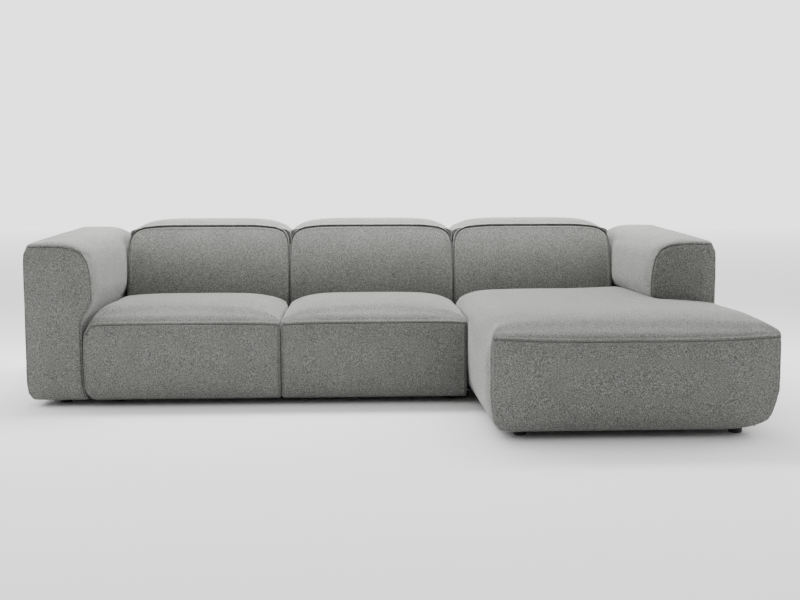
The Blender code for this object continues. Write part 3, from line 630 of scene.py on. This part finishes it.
def even_points(path, step):
    """The same path with its points at equal steps."""
    lengths = [0]
    for first, second in zip(path, path[1:]):
        lengths.append(lengths[-1] + (second - first).length)
    count = max(8, round(lengths[-1] / step))
    made, index = [], 0
    for number in range(count + 1):
        along = lengths[-1] * number / count
        while index < len(path) - 2 and lengths[index + 1] < along:
            index += 1
        span = lengths[index + 1] - lengths[index]
        made.append(path[index].lerp(path[index + 1], (along - lengths[index]) / span))
    return made


print("groove", GROOVE_DEPTH, "m deep")


# %% Pull a seam in and lay its welt
def welt(name, points):
    """A thin round ridge along a path."""
    curve = bpy.data.curves.new(name, "CURVE")
    curve.dimensions = "3D"
    curve.bevel_depth = WELT_RADIUS
    curve.bevel_resolution = 1
    curve.use_fill_caps = True
    line = curve.splines.new("POLY")
    line.points.add(len(points) - 1)
    for point, place in zip(line.points, points):
        point.co = (*place, 1)
    put_in_scene(name, curve)
    bpy.ops.object.convert(target="MESH")
    bpy.ops.object.shade_smooth()
    return bpy.context.object


def groove(distance):
    """How far the cloth goes in at a distance from the seam."""
    if distance < GROOVE_HALF:
        return GROOVE_DEPTH * (1 - distance / GROOVE_HALF)
    return -LIP_RISE * sin(pi * clamp((distance - GROOVE_HALF) / (LIP_END - GROOVE_HALF)))


def sew(piece, name):
    """Pulls the seam in, marks its groove for painted shade and lays its welt."""
    order = seam_path(piece)
    path = even_points([piece.data.vertices[index].co - piece.data.vertices[index].normal
                        * (GROOVE_DEPTH - WELT_OUT) for index in order], WELT_STEP)
    fine = even_points([piece.data.vertices[index].co for index in order], WELT_STEP / 4)
    finder = KDTree(len(fine))
    for number, point in enumerate(fine):
        finder.insert(point, number)
    finder.balance()
    near = seam_vertices(piece, least=0)
    # This mask is 1 on the seam and 0 at the groove's edge; the cloth's colour is painted darker by
    # it, as painted shade.
    depth = piece.data.attributes.new("seam_shade_mask", "FLOAT", "POINT").data
    moves = []
    for vertex in piece.data.vertices:
        if vertex.index in near:
            distance = finder.find(vertex.co)[2]
            moves.append((vertex, vertex.normal * -groove(distance)))
            depth[vertex.index].value = clamp(1 - distance / GROOVE_HALF)
    for vertex, move in moves:
        vertex.co += move
    return welt(name, path)


print("welt", 2 * WELT_RADIUS, "m thick")

# %% [markdown]
# ## Hollows
#
# Under the wadding every unit has its timber frame, and inside a cushion lies a foam
# core. The covers are hollowed by boxes a little larger than those parts, so that
# nothing overlaps and the frames show from below, as on the real sofa.

# %% Hollow a cover round the parts inside it
ROOM = 0.0006
BELOW, PAST = -0.05, 0.1
OPEN_BELOW = (None, None, BELOW)


def hollow(piece, spans, solver="FAST"):
    """Cuts every span, given as two corners, out of the piece.

    The exact solver is slower and is needed where spans share a side.
    """
    for low, high in spans:
        cutter = block("cutter", low, high)
        step = piece.modifiers.new("hollow", "BOOLEAN")
        step.operation, step.object, step.solver = "DIFFERENCE", cutter, solver
        apply_all(piece)
        bpy.data.objects.remove(cutter, do_unlink=True)


def round_node(node, low=(None, None, None), high=(None, None, None)):
    """A box round a CAD node, with some of its sides put elsewhere."""
    corners = []
    for corner, other, sign in zip(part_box(node), (low, high), (-1, 1)):
        corners.append([value + sign * ROOM if put is None else put
                        for value, put in zip(corner, other)])
    return corners


print("room", ROOM, "m")


def finish_cover(piece, body, nodes, finish):
    """Gives a piece its material and its body, and hides the nodes that it stands for."""
    piece.data.materials.clear()
    piece.data.materials.append(finish)
    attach(piece, body)
    if nodes:
        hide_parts(*nodes)
    print(f"{piece.name}: {len(piece.data.polygons)} faces")


def finish_cushion(piece, seam_name, spans, node, solver="FAST"):
    """Sews a filled cover, hollows it and hides the node that it stands for."""
    ridge = sew(piece, seam_name)
    hollow(piece, spans, solver)
    finish_cover(piece, "sofa", [node], COVER_CLOTH)
    finish_cover(ridge, "sofa", [], COVER_CLOTH)


# %% [markdown]
# ## The arms
#
# Each arm is a tall soft loaf with a D-shaped front panel that is sewn on all round.
# Its inner side swells above the seat, which presses into it lower down, and its top
# falls towards the front. It stands on the floor by itself; only the right one stops
# behind the chaise.

# %% Arm sizes
HALF_WIDTH, REAR, UNDERSIDE = 1.5, 0.88, 0.025
SEAT_FRONT, SEAT_BACK, CHAISE_FRONT = -0.153, 0.503, -0.88
ARM_INNER, ARM_FRONT, ARM_TOP = 1.195, -0.135, 0.754
ARM_TUCK, ARM_TUCK_END, TUCK_BLEND, TUCK_DEPTH = 0.0485, 0.57, 0.06, 0.15
ARM_SWELL = {-1: (0.375, 0.080), 1: (0.451, 0.016)}
ARM_FOOT_FILL, ARM_FOOT_REACH = {-1: 0.35, 1: 0.0}, 0.11
ARM_SLOPE, PRESS_MARGIN = 0.052, 0.02
ARM_CAP = 0.005
print("arms", ARM_TOP, "m high")


def arm_form(side, low, high):
    inner_x = side * ARM_INNER
    foot, rise = ARM_SWELL[side]

    def form(point):
        inward = clamp(1 - abs(point.x - inner_x) / TUCK_DEPTH)
        pressed = 1 - ease((point.z - foot) / rise)
        pressed -= ARM_FOOT_FILL[side] * fall(point.z - UNDERSIDE, ARM_FOOT_REACH)
        beside_seat = 1 - ease((point.y - ARM_TUCK_END) / TUCK_BLEND + 0.5)
        drop = ARM_SLOPE * (REAR - point.y) / (REAR - ARM_FRONT)
        return (side * ARM_TUCK * pressed * inward * beside_seat, 0,
                -drop * upper(point.z, low.z, high.z))
    return form


# %% Model both arms
LINKS = {"left": ("link_plate_front_left", "link_plate_rear_left"),
         "right": ("link_plate_front_right", "link_plate_rear_right")}


def link_slots(word):
    """The slots that the linking plates need in the bottoms of the covers."""
    return [round_node(node, OPEN_BELOW) for node in LINKS[word]]


def make_arm(word, side):
    low_x, high_x = (ARM_INNER, HALF_WIDTH) if side > 0 else (-HALF_WIDTH, -ARM_INNER)
    low, high = Vector((low_x, ARM_FRONT, UNDERSIDE)), Vector((high_x, REAR, ARM_TOP))
    foot, rise = ARM_SWELL[side]
    piece = loaf(
        f"{word}_arm_cushion", low, high,
        edges=[((X, -side, 0.090), (Z, 1, 0.175)), ((X, side, 0.036), (Z, 1, 0.055)),
               ((X, side, 0.042), (Z, -1, 0.070)), ((X, -side, 0.008), (Z, -1, 0.012)),
               ((Y, 1, 0.045), (Z, 1, 0.060)), ((Y, 1, 0.030), (X, side, 0.030)),
               ((Y, 1, 0.025), (Z, -1, 0.030)), ((Y, -1, 0.025), (Z, -1, 0.035))],
        form=arm_form(side, low, high),
        lines=([], [ARM_TUCK_END - TUCK_BLEND / 2, ARM_TUCK_END + TUCK_BLEND / 2],
               [foot - PRESS_MARGIN, foot, foot + rise, foot + rise + PRESS_MARGIN]),
        front=[(Z, 1, 0.018, 0.05), (X, side, 0.018, 0.38), (X, -side, 0.008, 0.05),
               (Z, -1, 0.002, 0.05)],
        dome=0.010)

    def held(point):
        at_seat = side * point.x < ARM_INNER + ARM_TUCK and point.z < foot + rise / 2
        return at_seat or point.z < UNDERSIDE + HELD_WIDTH

    fill(piece, ARM_CAP, held)
    spans = [round_node(f"arm_frame_{word}", OPEN_BELOW)]
    if word == "left":
        spans += link_slots("left")
    finish_cushion(piece, f"{word}_arm_welt", spans, f"arm_cover_{word}")


make_arm("left", -1)
make_arm("right", 1)

# %% [markdown]
# ## The seats
#
# Each seat of the two-seat unit is one soft block down to the floor. Its top is
# crowned and falls towards both neighbours and the front, where a seam joins the top
# to the front panel. The left one bulges against the arm.

# %% Seat sizes
BOUNDARIES = (-1.2075, -0.4025, 0.4025, 1.2075)
SQUEEZED = 1.2425
BESIDE = 0.0005
SEAT_TOP = 0.431
SEAT_FALLS = {"side": 0.022, "front": 0.057, "corner_lift": 0.018, "reach": 0.28}
SEAT_LINES = (0.10, 0.18)
CUSHION_CAP, SIDE_HELD = 0.006, 0.006
FRAME_SIDES = {"two_seat": (-1.162, 0.3575), "chaise": (0.4675, 1.162)}
WEBBING_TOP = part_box("seat_webbing")[1].z
print("seats", SEAT_TOP, "m high")


def top_fall(point, low, high, side, front, corner_lift, reach):
    """How far a crowned top falls towards its sides and its front."""
    sides = crown(point.x, low.x, high.x)
    return side * sides + (front - corner_lift * sides) * fall(point.y - low.y, reach)


def seat_form(low, high):
    def form(point):
        drop = top_fall(point, low, high, **SEAT_FALLS)
        return (0, 0, -drop * upper(point.z, low.z, high.z))
    return form


# %% Model both seats
FRONT_FOOT = ((Y, -1, 0.045), (Z, -1, 0.050))


def make_seat(word, low_x, high_x, edges, square, links):
    low, high = Vector((low_x, SEAT_FRONT, UNDERSIDE)), Vector((high_x, SEAT_BACK, SEAT_TOP))
    piece = loaf(
        f"{word}_seat_cushion", low, high,
        edges=edges + [FRONT_FOOT],
        form=seat_form(low, high),
        lines=([], [SEAT_FRONT + behind for behind in SEAT_LINES], []),
        front=[(Z, 1, 0.020, 0.04), (X, 1, 0.006, 0.03), (X, -1, 0.006, 0.03)],
        square=square + [((X, 1, 0.120), (Z, 1, 0.040))],
        dome=0.010)

    def held(point):
        beside = min(point.x - low_x, high_x - point.x, SEAT_BACK - point.y) < SIDE_HELD
        return beside or point.z < UNDERSIDE + HELD_WIDTH

    fill(piece, CUSHION_CAP, held)
    spans = [round_node("base_frame_two_seat", OPEN_BELOW, (None, REAR, WEBBING_TOP + ROOM)),
             round_node(f"seat_core_{word}")] + link_slots(links)
    finish_cushion(piece, f"{word}_seat_welt", spans, f"seat_cover_{word}")


make_seat("left", -SQUEEZED, BOUNDARIES[1] - BESIDE,
          edges=[((X, -1, 0.045), (Z, 1, 0.130)), ((X, -1, 0.035), (Z, -1, 0.110))],
          square=[], links="left")
make_seat("middle", BOUNDARIES[1] + BESIDE, BOUNDARIES[2] - BESIDE,
          edges=[], square=[((X, -1, 0.120), (Z, 1, 0.040))], links="right")

# %% [markdown]
# ## The chaise
#
# The chaise is the widest block. It runs forward past the right arm, which stands in
# a notch at its rear right corner. Its front panel is nearly square at the top left
# and strongly rounded at the bottom right, where the cover turns under.

# %% Model the chaise
CHAISE_TOP = 0.444
CHAISE_FALLS = {"side": 0.018, "front": 0.058, "corner_lift": 0.034, "reach": 0.36}
CHAISE_LINE = 0.12
ARM_BULGE, BULGE_MIDDLE, BULGE_REACH = 0.009, 1.2, 0.30
ARM_NOTCH, NOTCH_HELD = (1.2345, -0.138), 0.03
CHAISE_NOTCH_FRONT = -0.168
FOAM_NOTCH = (1.1875, -0.188)


def chaise_form(low, high):
    def form(point):
        drop = top_fall(point, low, high, **CHAISE_FALLS)
        drop -= (ARM_BULGE * fall(abs(point.x - BULGE_MIDDLE), BULGE_REACH)
                 * ease((point.y - FOAM_NOTCH[1]) / BULGE_REACH + 1))
        return (0, 0, -drop * upper(point.z, low.z, high.z))
    return form


def make_chaise():
    low = Vector((BOUNDARIES[2] + BESIDE, CHAISE_FRONT, UNDERSIDE))
    high = Vector((HALF_WIDTH, SEAT_BACK, CHAISE_TOP))
    piece = loaf(
        "chaise_cushion", low, high,
        edges=[((X, 1, 0.130), (Z, -1, 0.165)), ((X, -1, 0.050), (Z, -1, 0.150)),
               ((Y, -1, 0.050), (Z, -1, 0.060))],
        form=chaise_form(low, high),
        lines=([], [CHAISE_FRONT + CHAISE_LINE], []),
        front=[(Z, 1, 0.022, 0.05), (X, 1, 0.028, 0.20), (X, -1, 0.006, 0.05)],
        square=[((X, -1, 0.110), (Z, 1, 0.050)), ((X, 1, 0.055), (Z, 1, 0.045))],
        dome=0.010)

    def held(point):
        beside = point.x - low.x < SIDE_HELD and point.y > SEAT_FRONT
        in_notch = min(point.x - ARM_NOTCH[0], point.y - ARM_NOTCH[1]) > -NOTCH_HELD
        return beside or in_notch or point.z < UNDERSIDE + HELD_WIDTH

    fill(piece, CUSHION_CAP, held)
    frame_right, frame_top = FRAME_SIDES["chaise"][1] + ROOM, WEBBING_TOP + ROOM
    spans = [
        ((*ARM_NOTCH, BELOW), (HALF_WIDTH + PAST, REAR, ARM_TOP)),
        round_node("base_frame_chaise", OPEN_BELOW, (frame_right, REAR, frame_top)),
        round_node("base_frame_chaise", OPEN_BELOW, (None, CHAISE_NOTCH_FRONT + ROOM, frame_top)),
        round_node("chaise_core", high=(FOAM_NOTCH[0] + ROOM, None, None)),
        round_node("chaise_core", high=(None, FOAM_NOTCH[1] + ROOM, None)),
        *link_slots("right")]
    finish_cushion(piece, "chaise_welt", spans, "chaise_cover", solver="EXACT")


make_chaise()

# %% [markdown]
# ## The back cushions
#
# Three cushions lean back on the frame. Each is thick at the seat and thinner at its
# top seam, where its front panel ends; the headrest fills the place behind.

# %% Model the three back cushions
BACK_OUTER = 1.192
BACK_REAR, BACK_SEAM = 0.700, 0.757
BACK_BOTTOM = 0.1666
LEAN_FOOT, BACK_RECLINE, BULGE_POWER = 0.435, 0.096, 1.35
HEADREST_SPACE = (0.621, 0.655)
BACK_CORNER = (0.125, 0.070)
LEAN_HELD = 0.03


def back_form(low, high):
    def form(point):
        lean_share = max(0, point.z - LEAN_FOOT) / (BACK_SEAM - LEAN_FOOT)
        recline = BACK_RECLINE * lean_share ** BULGE_POWER
        return (0, recline * lower(point.y, low.y, high.y), 0)
    return form


def make_back(word, low_x, high_x):
    low, high = Vector((low_x, SEAT_BACK, BACK_BOTTOM)), Vector((high_x, BACK_REAR, BACK_SEAM))
    corner_x, corner_z = BACK_CORNER
    piece = loaf(
        f"{word}_back_cushion", low, high,
        edges=[((X, -1, corner_x), (Z, 1, corner_z)), ((X, 1, corner_x), (Z, 1, corner_z))],
        form=back_form(low, high),
        lines=([], [], [LEAN_FOOT]),
        front=[(Z, 1, 0.006, 0.02), (X, 1, 0.005, 0.02), (X, -1, 0.005, 0.02)],
        dome=0.012)

    def held(point):
        beside = min(point.x - low_x, high_x - point.x, BACK_REAR - point.y) < SIDE_HELD
        return beside or point.z < LEAN_FOOT - LEAN_HELD

    fill(piece, CUSHION_CAP, held)
    spans = [((low_x - PAST, *HEADREST_SPACE), (high_x + PAST, REAR, ARM_TOP + PAST)),
             round_node(f"back_core_{word}", high=(None, REAR, None))]
    finish_cushion(piece, f"{word}_back_welt", spans, f"back_cover_{word}")


make_back("left", -BACK_OUTER, BOUNDARIES[1] - BESIDE)
make_back("middle", BOUNDARIES[1] + BESIDE, BOUNDARIES[2] - BESIDE)
make_back("right", BOUNDARIES[2] + BESIDE, BACK_OUTER)

# %% [markdown]
# ## The headrests
#
# Behind each back cushion's top seam lies a soft pad on a plywood board. It turns on
# two steel hinges, so its nose is round and level with the seam, and behind the nose
# it rises to its crown. It must clear the back cushion all the way up.

# %% Model the three headrest pads
AXIS = (0.647, 0.735)
NOSE = 0.022
HEADREST_FRONT, HEADREST_REAR = 0.625, 0.878
HEADREST_LOW, HEADREST_TOP = 0.667, 0.785
PAD_GAP = 0.002
RISE_PLACES = (0.678, 0.745)
NOSE_HELD = 0.02
HEADREST_SIDE_DROP = 0.006
HEADREST_CAP = 0.003
HINGE_INSET, HALF_POCKET = 0.080, 0.029
POCKET_FRONT, POCKET_REAR, POCKET_TOP = 0.575, 0.730, 0.746


def headrest_form(low, high):
    def form(point):
        climb = ease((point.y - RISE_PLACES[0]) / (RISE_PLACES[1] - RISE_PLACES[0]))
        nose_drop = (HEADREST_TOP - AXIS[1] - NOSE) * (1 - climb)
        drop = max(nose_drop, HEADREST_SIDE_DROP * crown(point.x, low.x, high.x))
        return (0, 0, -drop * upper(point.z, low.z, high.z))
    return form


def make_headrest(word, low_x, high_x):
    low = Vector((low_x + PAD_GAP, HEADREST_FRONT, HEADREST_LOW))
    high = Vector((high_x - PAD_GAP, HEADREST_REAR, HEADREST_TOP))
    piece = loaf(
        f"{word}_headrest_cushion", low, high,
        edges=[((X, -1, 0.160), (Z, 1, 0.060)), ((X, 1, 0.160), (Z, 1, 0.060)),
               ((Y, 1, 0.050), (Z, 1, 0.050)), ((Y, -1, NOSE), (Z, 1, NOSE)),
               ((Y, -1, NOSE), (Z, -1, 0.040)), ((Y, 1, 0.030), (Z, -1, 0.030)),
               ((X, -1, 0.025), (Y, 1, 0.040)), ((X, 1, 0.025), (Y, 1, 0.040))],
        form=headrest_form(low, high),
        lines=([], RISE_PLACES, []))

    def held(point):
        beside = min(point.x - low.x, high.x - point.x) < SIDE_HELD
        return (beside or point.y < RISE_PLACES[0] + NOSE_HELD
                or point.z < HEADREST_LOW + HELD_WIDTH)

    fill(piece, HEADREST_CAP, held)
    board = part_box(f"headrest_board_{word}")
    pockets = [((x - HALF_POCKET, POCKET_FRONT, BELOW), (x + HALF_POCKET, POCKET_REAR, POCKET_TOP))
               for x in (board[0].x + HINGE_INSET, board[1].x - HINGE_INSET)]
    hollow(piece, [round_node(f"headrest_board_{word}")] + pockets)
    finish_cover(piece, f"headrest_{word}", [f"headrest_pad_{word}"], COVER_CLOTH)


make_headrest("left", -BACK_OUTER, BOUNDARIES[1])
make_headrest("middle", BOUNDARIES[1], BOUNDARIES[2])
make_headrest("right", BOUNDARIES[2], BACK_OUTER)

# %% [markdown]
# ## The outside backs
#
# The rear of each unit is a thin padded panel over the back frame, down to the
# floor and up to the headrests. A flat plate would do from the front, but a small
# swell between held edges shows that this is cloth over wadding.

# %% Model the outside backs
DECK_FRONT = 0.7433
REAR_TOP = 0.6667
REAR_CAP, REAR_HELD, REAR_WALL = 0.004, 0.010, 0.05
FRAME_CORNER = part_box("back_frame_two_seat")[1]


def make_outside_back(word, low_x, high_x):
    frame_low, frame_high = FRAME_SIDES[word]
    piece = loaf(
        f"{word}_outside_back", (low_x, DECK_FRONT, UNDERSIDE), (high_x, REAR, REAR_TOP),
        edges=[((Y, 1, 0.025), (Z, 1, 0.020)), ((Y, 1, 0.025), (Z, -1, 0.030)),
               ((X, -1, 0.012), (Y, 1, 0.020)), ((X, 1, 0.012), (Y, 1, 0.020))],
        form=lambda point: (0, 0, 0))

    def held(point):
        edge = min(point.x - low_x, high_x - point.x, point.z - UNDERSIDE, REAR_TOP - point.z)
        return edge < REAR_HELD or point.y < REAR - REAR_WALL

    fill(piece, REAR_CAP, held)
    hollow(piece, [((frame_low - ROOM, SEAT_BACK, BELOW),
                    (frame_high + ROOM, FRAME_CORNER.y + ROOM, FRAME_CORNER.z + ROOM))])
    finish_cover(piece, "sofa", [f"rear_cover_{word}"], COVER_CLOTH)


make_outside_back("two_seat", -BACK_OUTER, BOUNDARIES[2] - BESIDE)
make_outside_back("chaise", BOUNDARIES[2] + BESIDE, BACK_OUTER)

# %% [markdown]
# ## The foam inside
#
# Every cushion is wrapped round a block of polyurethane foam. The block is sawn from a
# larger one, so its faces are flat and only its edges are taken off. Its open cells are
# rounder than yarn, so this time Worley noise fits.

# %% Mix the foam
FOAM_PALE, FOAM_DEEP = (0.76, 0.70, 0.52), (0.56, 0.49, 0.32)
CELL = 650.0


def foam_finish():
    foam = Finish("open_cell_foam", 0.95, {"Specular IOR Level": 0.15})
    cells = foam.node("TexVoronoi", Vector=foam.place, Scale=CELL)
    patch = foam.noise(12.0, detail=3.0)
    foam.colour(foam.ramp(cells * 0.7 + patch * 0.4, [(0.15, FOAM_DEEP), (0.70, FOAM_PALE)]))
    foam.bump(cells, 0.0008, 0.6)
    return foam.material


FOAM = foam_finish()
print("mixed", FOAM.name)

# %% Cut the foam blocks
FOAM_EDGE = 0.012


def all_edges(radius):
    """The twelve edges of a box, with one radius."""
    return [((first, one, radius), (second, other, radius))
            for first, second in ((X, Y), (X, Z), (Y, Z)) for one in (-1, 1) for other in (-1, 1)]


def make_foam(node, notch=None):
    """The foam block of a CAD node, with the corner behind the notch cut off."""
    low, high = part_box(node)
    piece = loaf(node.replace("core", "foam"), low, high, edges=all_edges(FOAM_EDGE),
                 form=lambda point: (0, 0, 0))
    bpy.ops.object.shade_smooth()
    if notch:
        hollow(piece, [((*notch, BELOW), high + Vector((PAST, PAST, PAST)))])
    finish_cover(piece, "sofa", [node], FOAM)


for core in ("seat_core_left", "seat_core_middle", "back_core_left", "back_core_middle",
             "back_core_right"):
    make_foam(core)
make_foam("chaise_core", FOAM_NOTCH)

# %% [markdown]
# ## The dust cloths
#
# The underside of each unit is closed by black non-woven cloth, stapled flat to the
# frame and cut out for the feet and the linking plates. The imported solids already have
# those cut-outs, so each cloth starts as a merged copy of its solid.

# %% Mix the dust cloth
DUST_DARK, DUST_PALE = (0.012, 0.012, 0.013), (0.045, 0.045, 0.047)


def dust_finish():
    felt = Finish("black_non_woven", 0.9, {"Specular IOR Level": 0.25})
    fibres = felt.noise(420.0, detail=4.0, roughness=0.7, place=felt.stretched((1.0, 0.3, 1.0)))
    clumps = felt.noise(60.0, detail=3.0)
    felt.colour(felt.ramp(fibres * 0.6 + clumps * 0.4, [(0.35, DUST_DARK), (0.68, DUST_PALE)]))
    felt.bump(fibres, 0.0004, 0.6)
    return felt.material


DUST_CLOTH = dust_finish()
print("mixed", DUST_CLOTH.name)


# %% Staple the dust cloths on
def merged_copy(node, name):
    """A new piece with a CAD node's shape, its loose triangles joined."""
    piece = put_in_scene(name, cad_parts[node].data.copy())
    bpy.ops.object.mode_set(mode="EDIT")
    bpy.ops.mesh.select_all(action="SELECT")
    bpy.ops.mesh.remove_doubles(threshold=EXACT)
    bpy.ops.mesh.normals_make_consistent()
    bpy.ops.object.mode_set(mode="OBJECT")
    return piece


def make_dust_cloth(word):
    """A dust cloth, as a merged copy of its CAD node."""
    node = f"dust_cloth_{word}"
    piece = merged_copy(node, f"{word}_dust_sheet")
    finish_cover(piece, "sofa", [node], DUST_CLOTH)


make_dust_cloth("arm_left")
make_dust_cloth("arm_right")
make_dust_cloth("two_seat")
make_dust_cloth("chaise")

# %% [markdown]
# ## The feet
#
# All ten feet are the same round glide of black plastic with a screw in a recess from
# below. One is modelled and then copied to each place.

# %% Mix the foot's plastic
FOOT_BLACK, FOOT_SCUFFED = (0.010, 0.010, 0.010), (0.055, 0.055, 0.053)


def foot_finish():
    plastic = Finish("black_foot_plastic", 0.45)
    height = plastic.node("SeparateXYZ", Vector=plastic.place, output="Z")
    rim = plastic.node("MapRange", Value=height, From_Min=0.0, From_Max=0.006, To_Min=0.45,
                       To_Max=0.0)
    scuffs = plastic.noise(240.0, detail=5.0, roughness=0.7)
    plastic.colour(plastic.ramp(scuffs * 0.6 + rim, [(0.40, FOOT_BLACK), (0.80, FOOT_SCUFFED)]))
    plastic.roughness(scuffs * 0.3 + 0.3)
    plastic.bump(plastic.noise(1400.0, detail=1.0), 0.0002, 0.4)
    return plastic.material


FOOT_PLASTIC = foot_finish()
print("mixed", FOOT_PLASTIC.name)

# %% Model one foot and copy it
FOOT_RADIUS, FOOT_SIDES = 0.025, 48
FOOT_RIM, SCREW_RECESS = 0.014, 0.012
DOWNWARD, FOOT_EDGE, SHARP_ANGLE = -0.9, 0.0018, 0.6
FOOT_NODES = sorted(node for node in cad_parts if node.startswith("foot_"))
FOOT_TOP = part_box(FOOT_NODES[0])[1].z


def model_foot():
    """A foot at the origin, with its recess and rounded rims."""
    deselect()
    bpy.ops.mesh.primitive_cylinder_add(vertices=FOOT_SIDES, radius=FOOT_RADIUS, depth=FOOT_TOP,
                                        location=(0, 0, FOOT_TOP / 2))
    foot = bpy.context.object
    bpy.ops.object.transform_apply()
    for face in foot.data.polygons:
        face.select = face.normal.z < DOWNWARD
    bpy.ops.object.mode_set(mode="EDIT")
    bpy.ops.mesh.select_mode(type="FACE")
    bpy.ops.mesh.inset(thickness=FOOT_RIM)
    bpy.ops.mesh.extrude_region_move(TRANSFORM_OT_translate={"value": (0, 0, SCREW_RECESS)})
    bpy.ops.object.mode_set(mode="OBJECT")
    step = foot.modifiers.new("rims", "BEVEL")
    step.width, step.segments = FOOT_EDGE, 3
    apply_all(foot)
    bpy.ops.object.shade_smooth_by_angle(angle=SHARP_ANGLE)
    return foot


def copy_foot(foot, node):
    """The foot at a CAD node's place."""
    low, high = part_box(node)
    piece = put_in_scene(f"{node}_glide", foot.data.copy())
    piece.data.transform(Matrix.Translation(((low.x + high.x) / 2, (low.y + high.y) / 2, 0)))
    finish_cover(piece, "sofa", [node], FOOT_PLASTIC)


first_foot = model_foot()
for foot_node in FOOT_NODES:
    copy_foot(first_foot, foot_node)
bpy.data.objects.remove(first_foot, do_unlink=True)

# %% [markdown]
# ## Timber, plywood, webbing and steel
#
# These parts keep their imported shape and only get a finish. The frames are of pine with
# its grain along the rails, the headrest boards of birch plywood whose plies show at the
# edges, the straps of elastic webbing with fine ribs, and the fittings are zinc plated.

# %% Mix the timber and the plywood
PINE_LIGHT, PINE_DARK = (0.62, 0.44, 0.26), (0.38, 0.23, 0.11)
BIRCH_LIGHT, BIRCH_DARK = (0.68, 0.53, 0.36), (0.40, 0.27, 0.15)


def pine_finish(name, scale):
    """Pine whose grain runs along the axis with the smallest scale."""
    pine = Finish(name, 0.72, {"Specular IOR Level": 0.3})
    place = pine.stretched(scale)
    rings = pine.node("TexWave", {"wave_type": "BANDS", "bands_direction": "DIAGONAL"},
                      Vector=place, Scale=2.2, Distortion=5.0, Detail=3.0)
    fibre = pine.noise(11.0, detail=4.0, roughness=0.6, place=place)
    pine.colour(pine.ramp(rings * 0.5 + fibre * 0.5, [(0.25, PINE_DARK), (0.75, PINE_LIGHT)]))
    pine.roughness(fibre * 0.2 + 0.6)
    pine.bump(fibre, 0.0005, 0.5)
    return pine.material


def plywood_finish():
    birch = Finish("birch_plywood", 0.6, {"Specular IOR Level": 0.35})
    plies = birch.node("TexWave", {"wave_type": "BANDS", "bands_direction": "Z"},
                       Vector=birch.place, Scale=105.0)
    fibre = birch.noise(14.0, detail=5.0, roughness=0.6, place=birch.stretched((0.6, 9.0, 9.0)))
    birch.colour(birch.ramp(plies * 0.35 + fibre * 0.65, [(0.20, BIRCH_DARK), (0.70, BIRCH_LIGHT)]))
    birch.bump(fibre, 0.0003, 0.4)
    return birch.material


PINE_ACROSS = pine_finish("pine_along_x", (0.7, 12.0, 12.0))
PINE_DEEP = pine_finish("pine_along_y", (12.0, 0.7, 12.0))
PLYWOOD = plywood_finish()
print("mixed", PINE_ACROSS.name, PINE_DEEP.name, PLYWOOD.name)

# %% Mix the webbing and the steel
WEB_DARK, WEB_PALE = (0.012, 0.012, 0.012), (0.075, 0.075, 0.078)
ZINC_DARK, ZINC_LIGHT = (0.34, 0.35, 0.37), (0.60, 0.61, 0.62)


def webbing_finish():
    web = Finish("elastic_webbing", 0.85, {"Specular IOR Level": 0.3})
    ribs = [web.node("TexWave", {"wave_type": "BANDS", "bands_direction": way},
                     Vector=web.place, Scale=scale) for way, scale in (("X", 200.0), ("Y", 260.0))]
    weave = ribs[0] * 0.5 + ribs[1] * 0.5
    wear = web.noise(25.0, detail=3.0)
    web.colour(web.ramp(weave * 0.7 + wear * 0.3, [(0.2, WEB_DARK), (0.9, WEB_PALE)]))
    web.bump(weave, 0.0005, 0.7)
    return web.material


def steel_finish():
    steel = Finish("zinc_plated_steel", 0.35, {"Metallic": 1.0})
    spangle = steel.node("TexVoronoi", Vector=steel.place, Scale=140.0)
    smear = steel.noise(70.0, detail=4.0, place=steel.stretched((1.0, 0.2, 1.0)))
    steel.colour(steel.ramp(spangle * 0.4 + smear * 0.6, [(0.2, ZINC_DARK), (0.7, ZINC_LIGHT)]))
    steel.roughness(smear * 0.25 + 0.25)
    steel.bump(smear, 0.0002, 0.3)
    return steel.material


WEBBING = webbing_finish()
STEEL = steel_finish()
print("mixed", WEBBING.name, STEEL.name)

# %% Give every hard part its finish
HARD_FINISHES = {"arm_frame_": PINE_DEEP, "base_frame_": PINE_ACROSS, "back_frame_": PINE_ACROSS,
                 "headrest_board_": PLYWOOD, "headrest_bracket_": STEEL, "headrest_leaf_": STEEL,
                 "link_plate_": STEEL, "seat_webbing": WEBBING, "chaise_webbing": WEBBING}

for start, hard_finish in HARD_FINISHES.items():
    nodes = [thing for name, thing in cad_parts.items() if name.startswith(start)]
    for thing in nodes:
        thing.material_slots[0].material = hard_finish
    print(f"{start}: {len(nodes)} nodes in {hard_finish.name}")
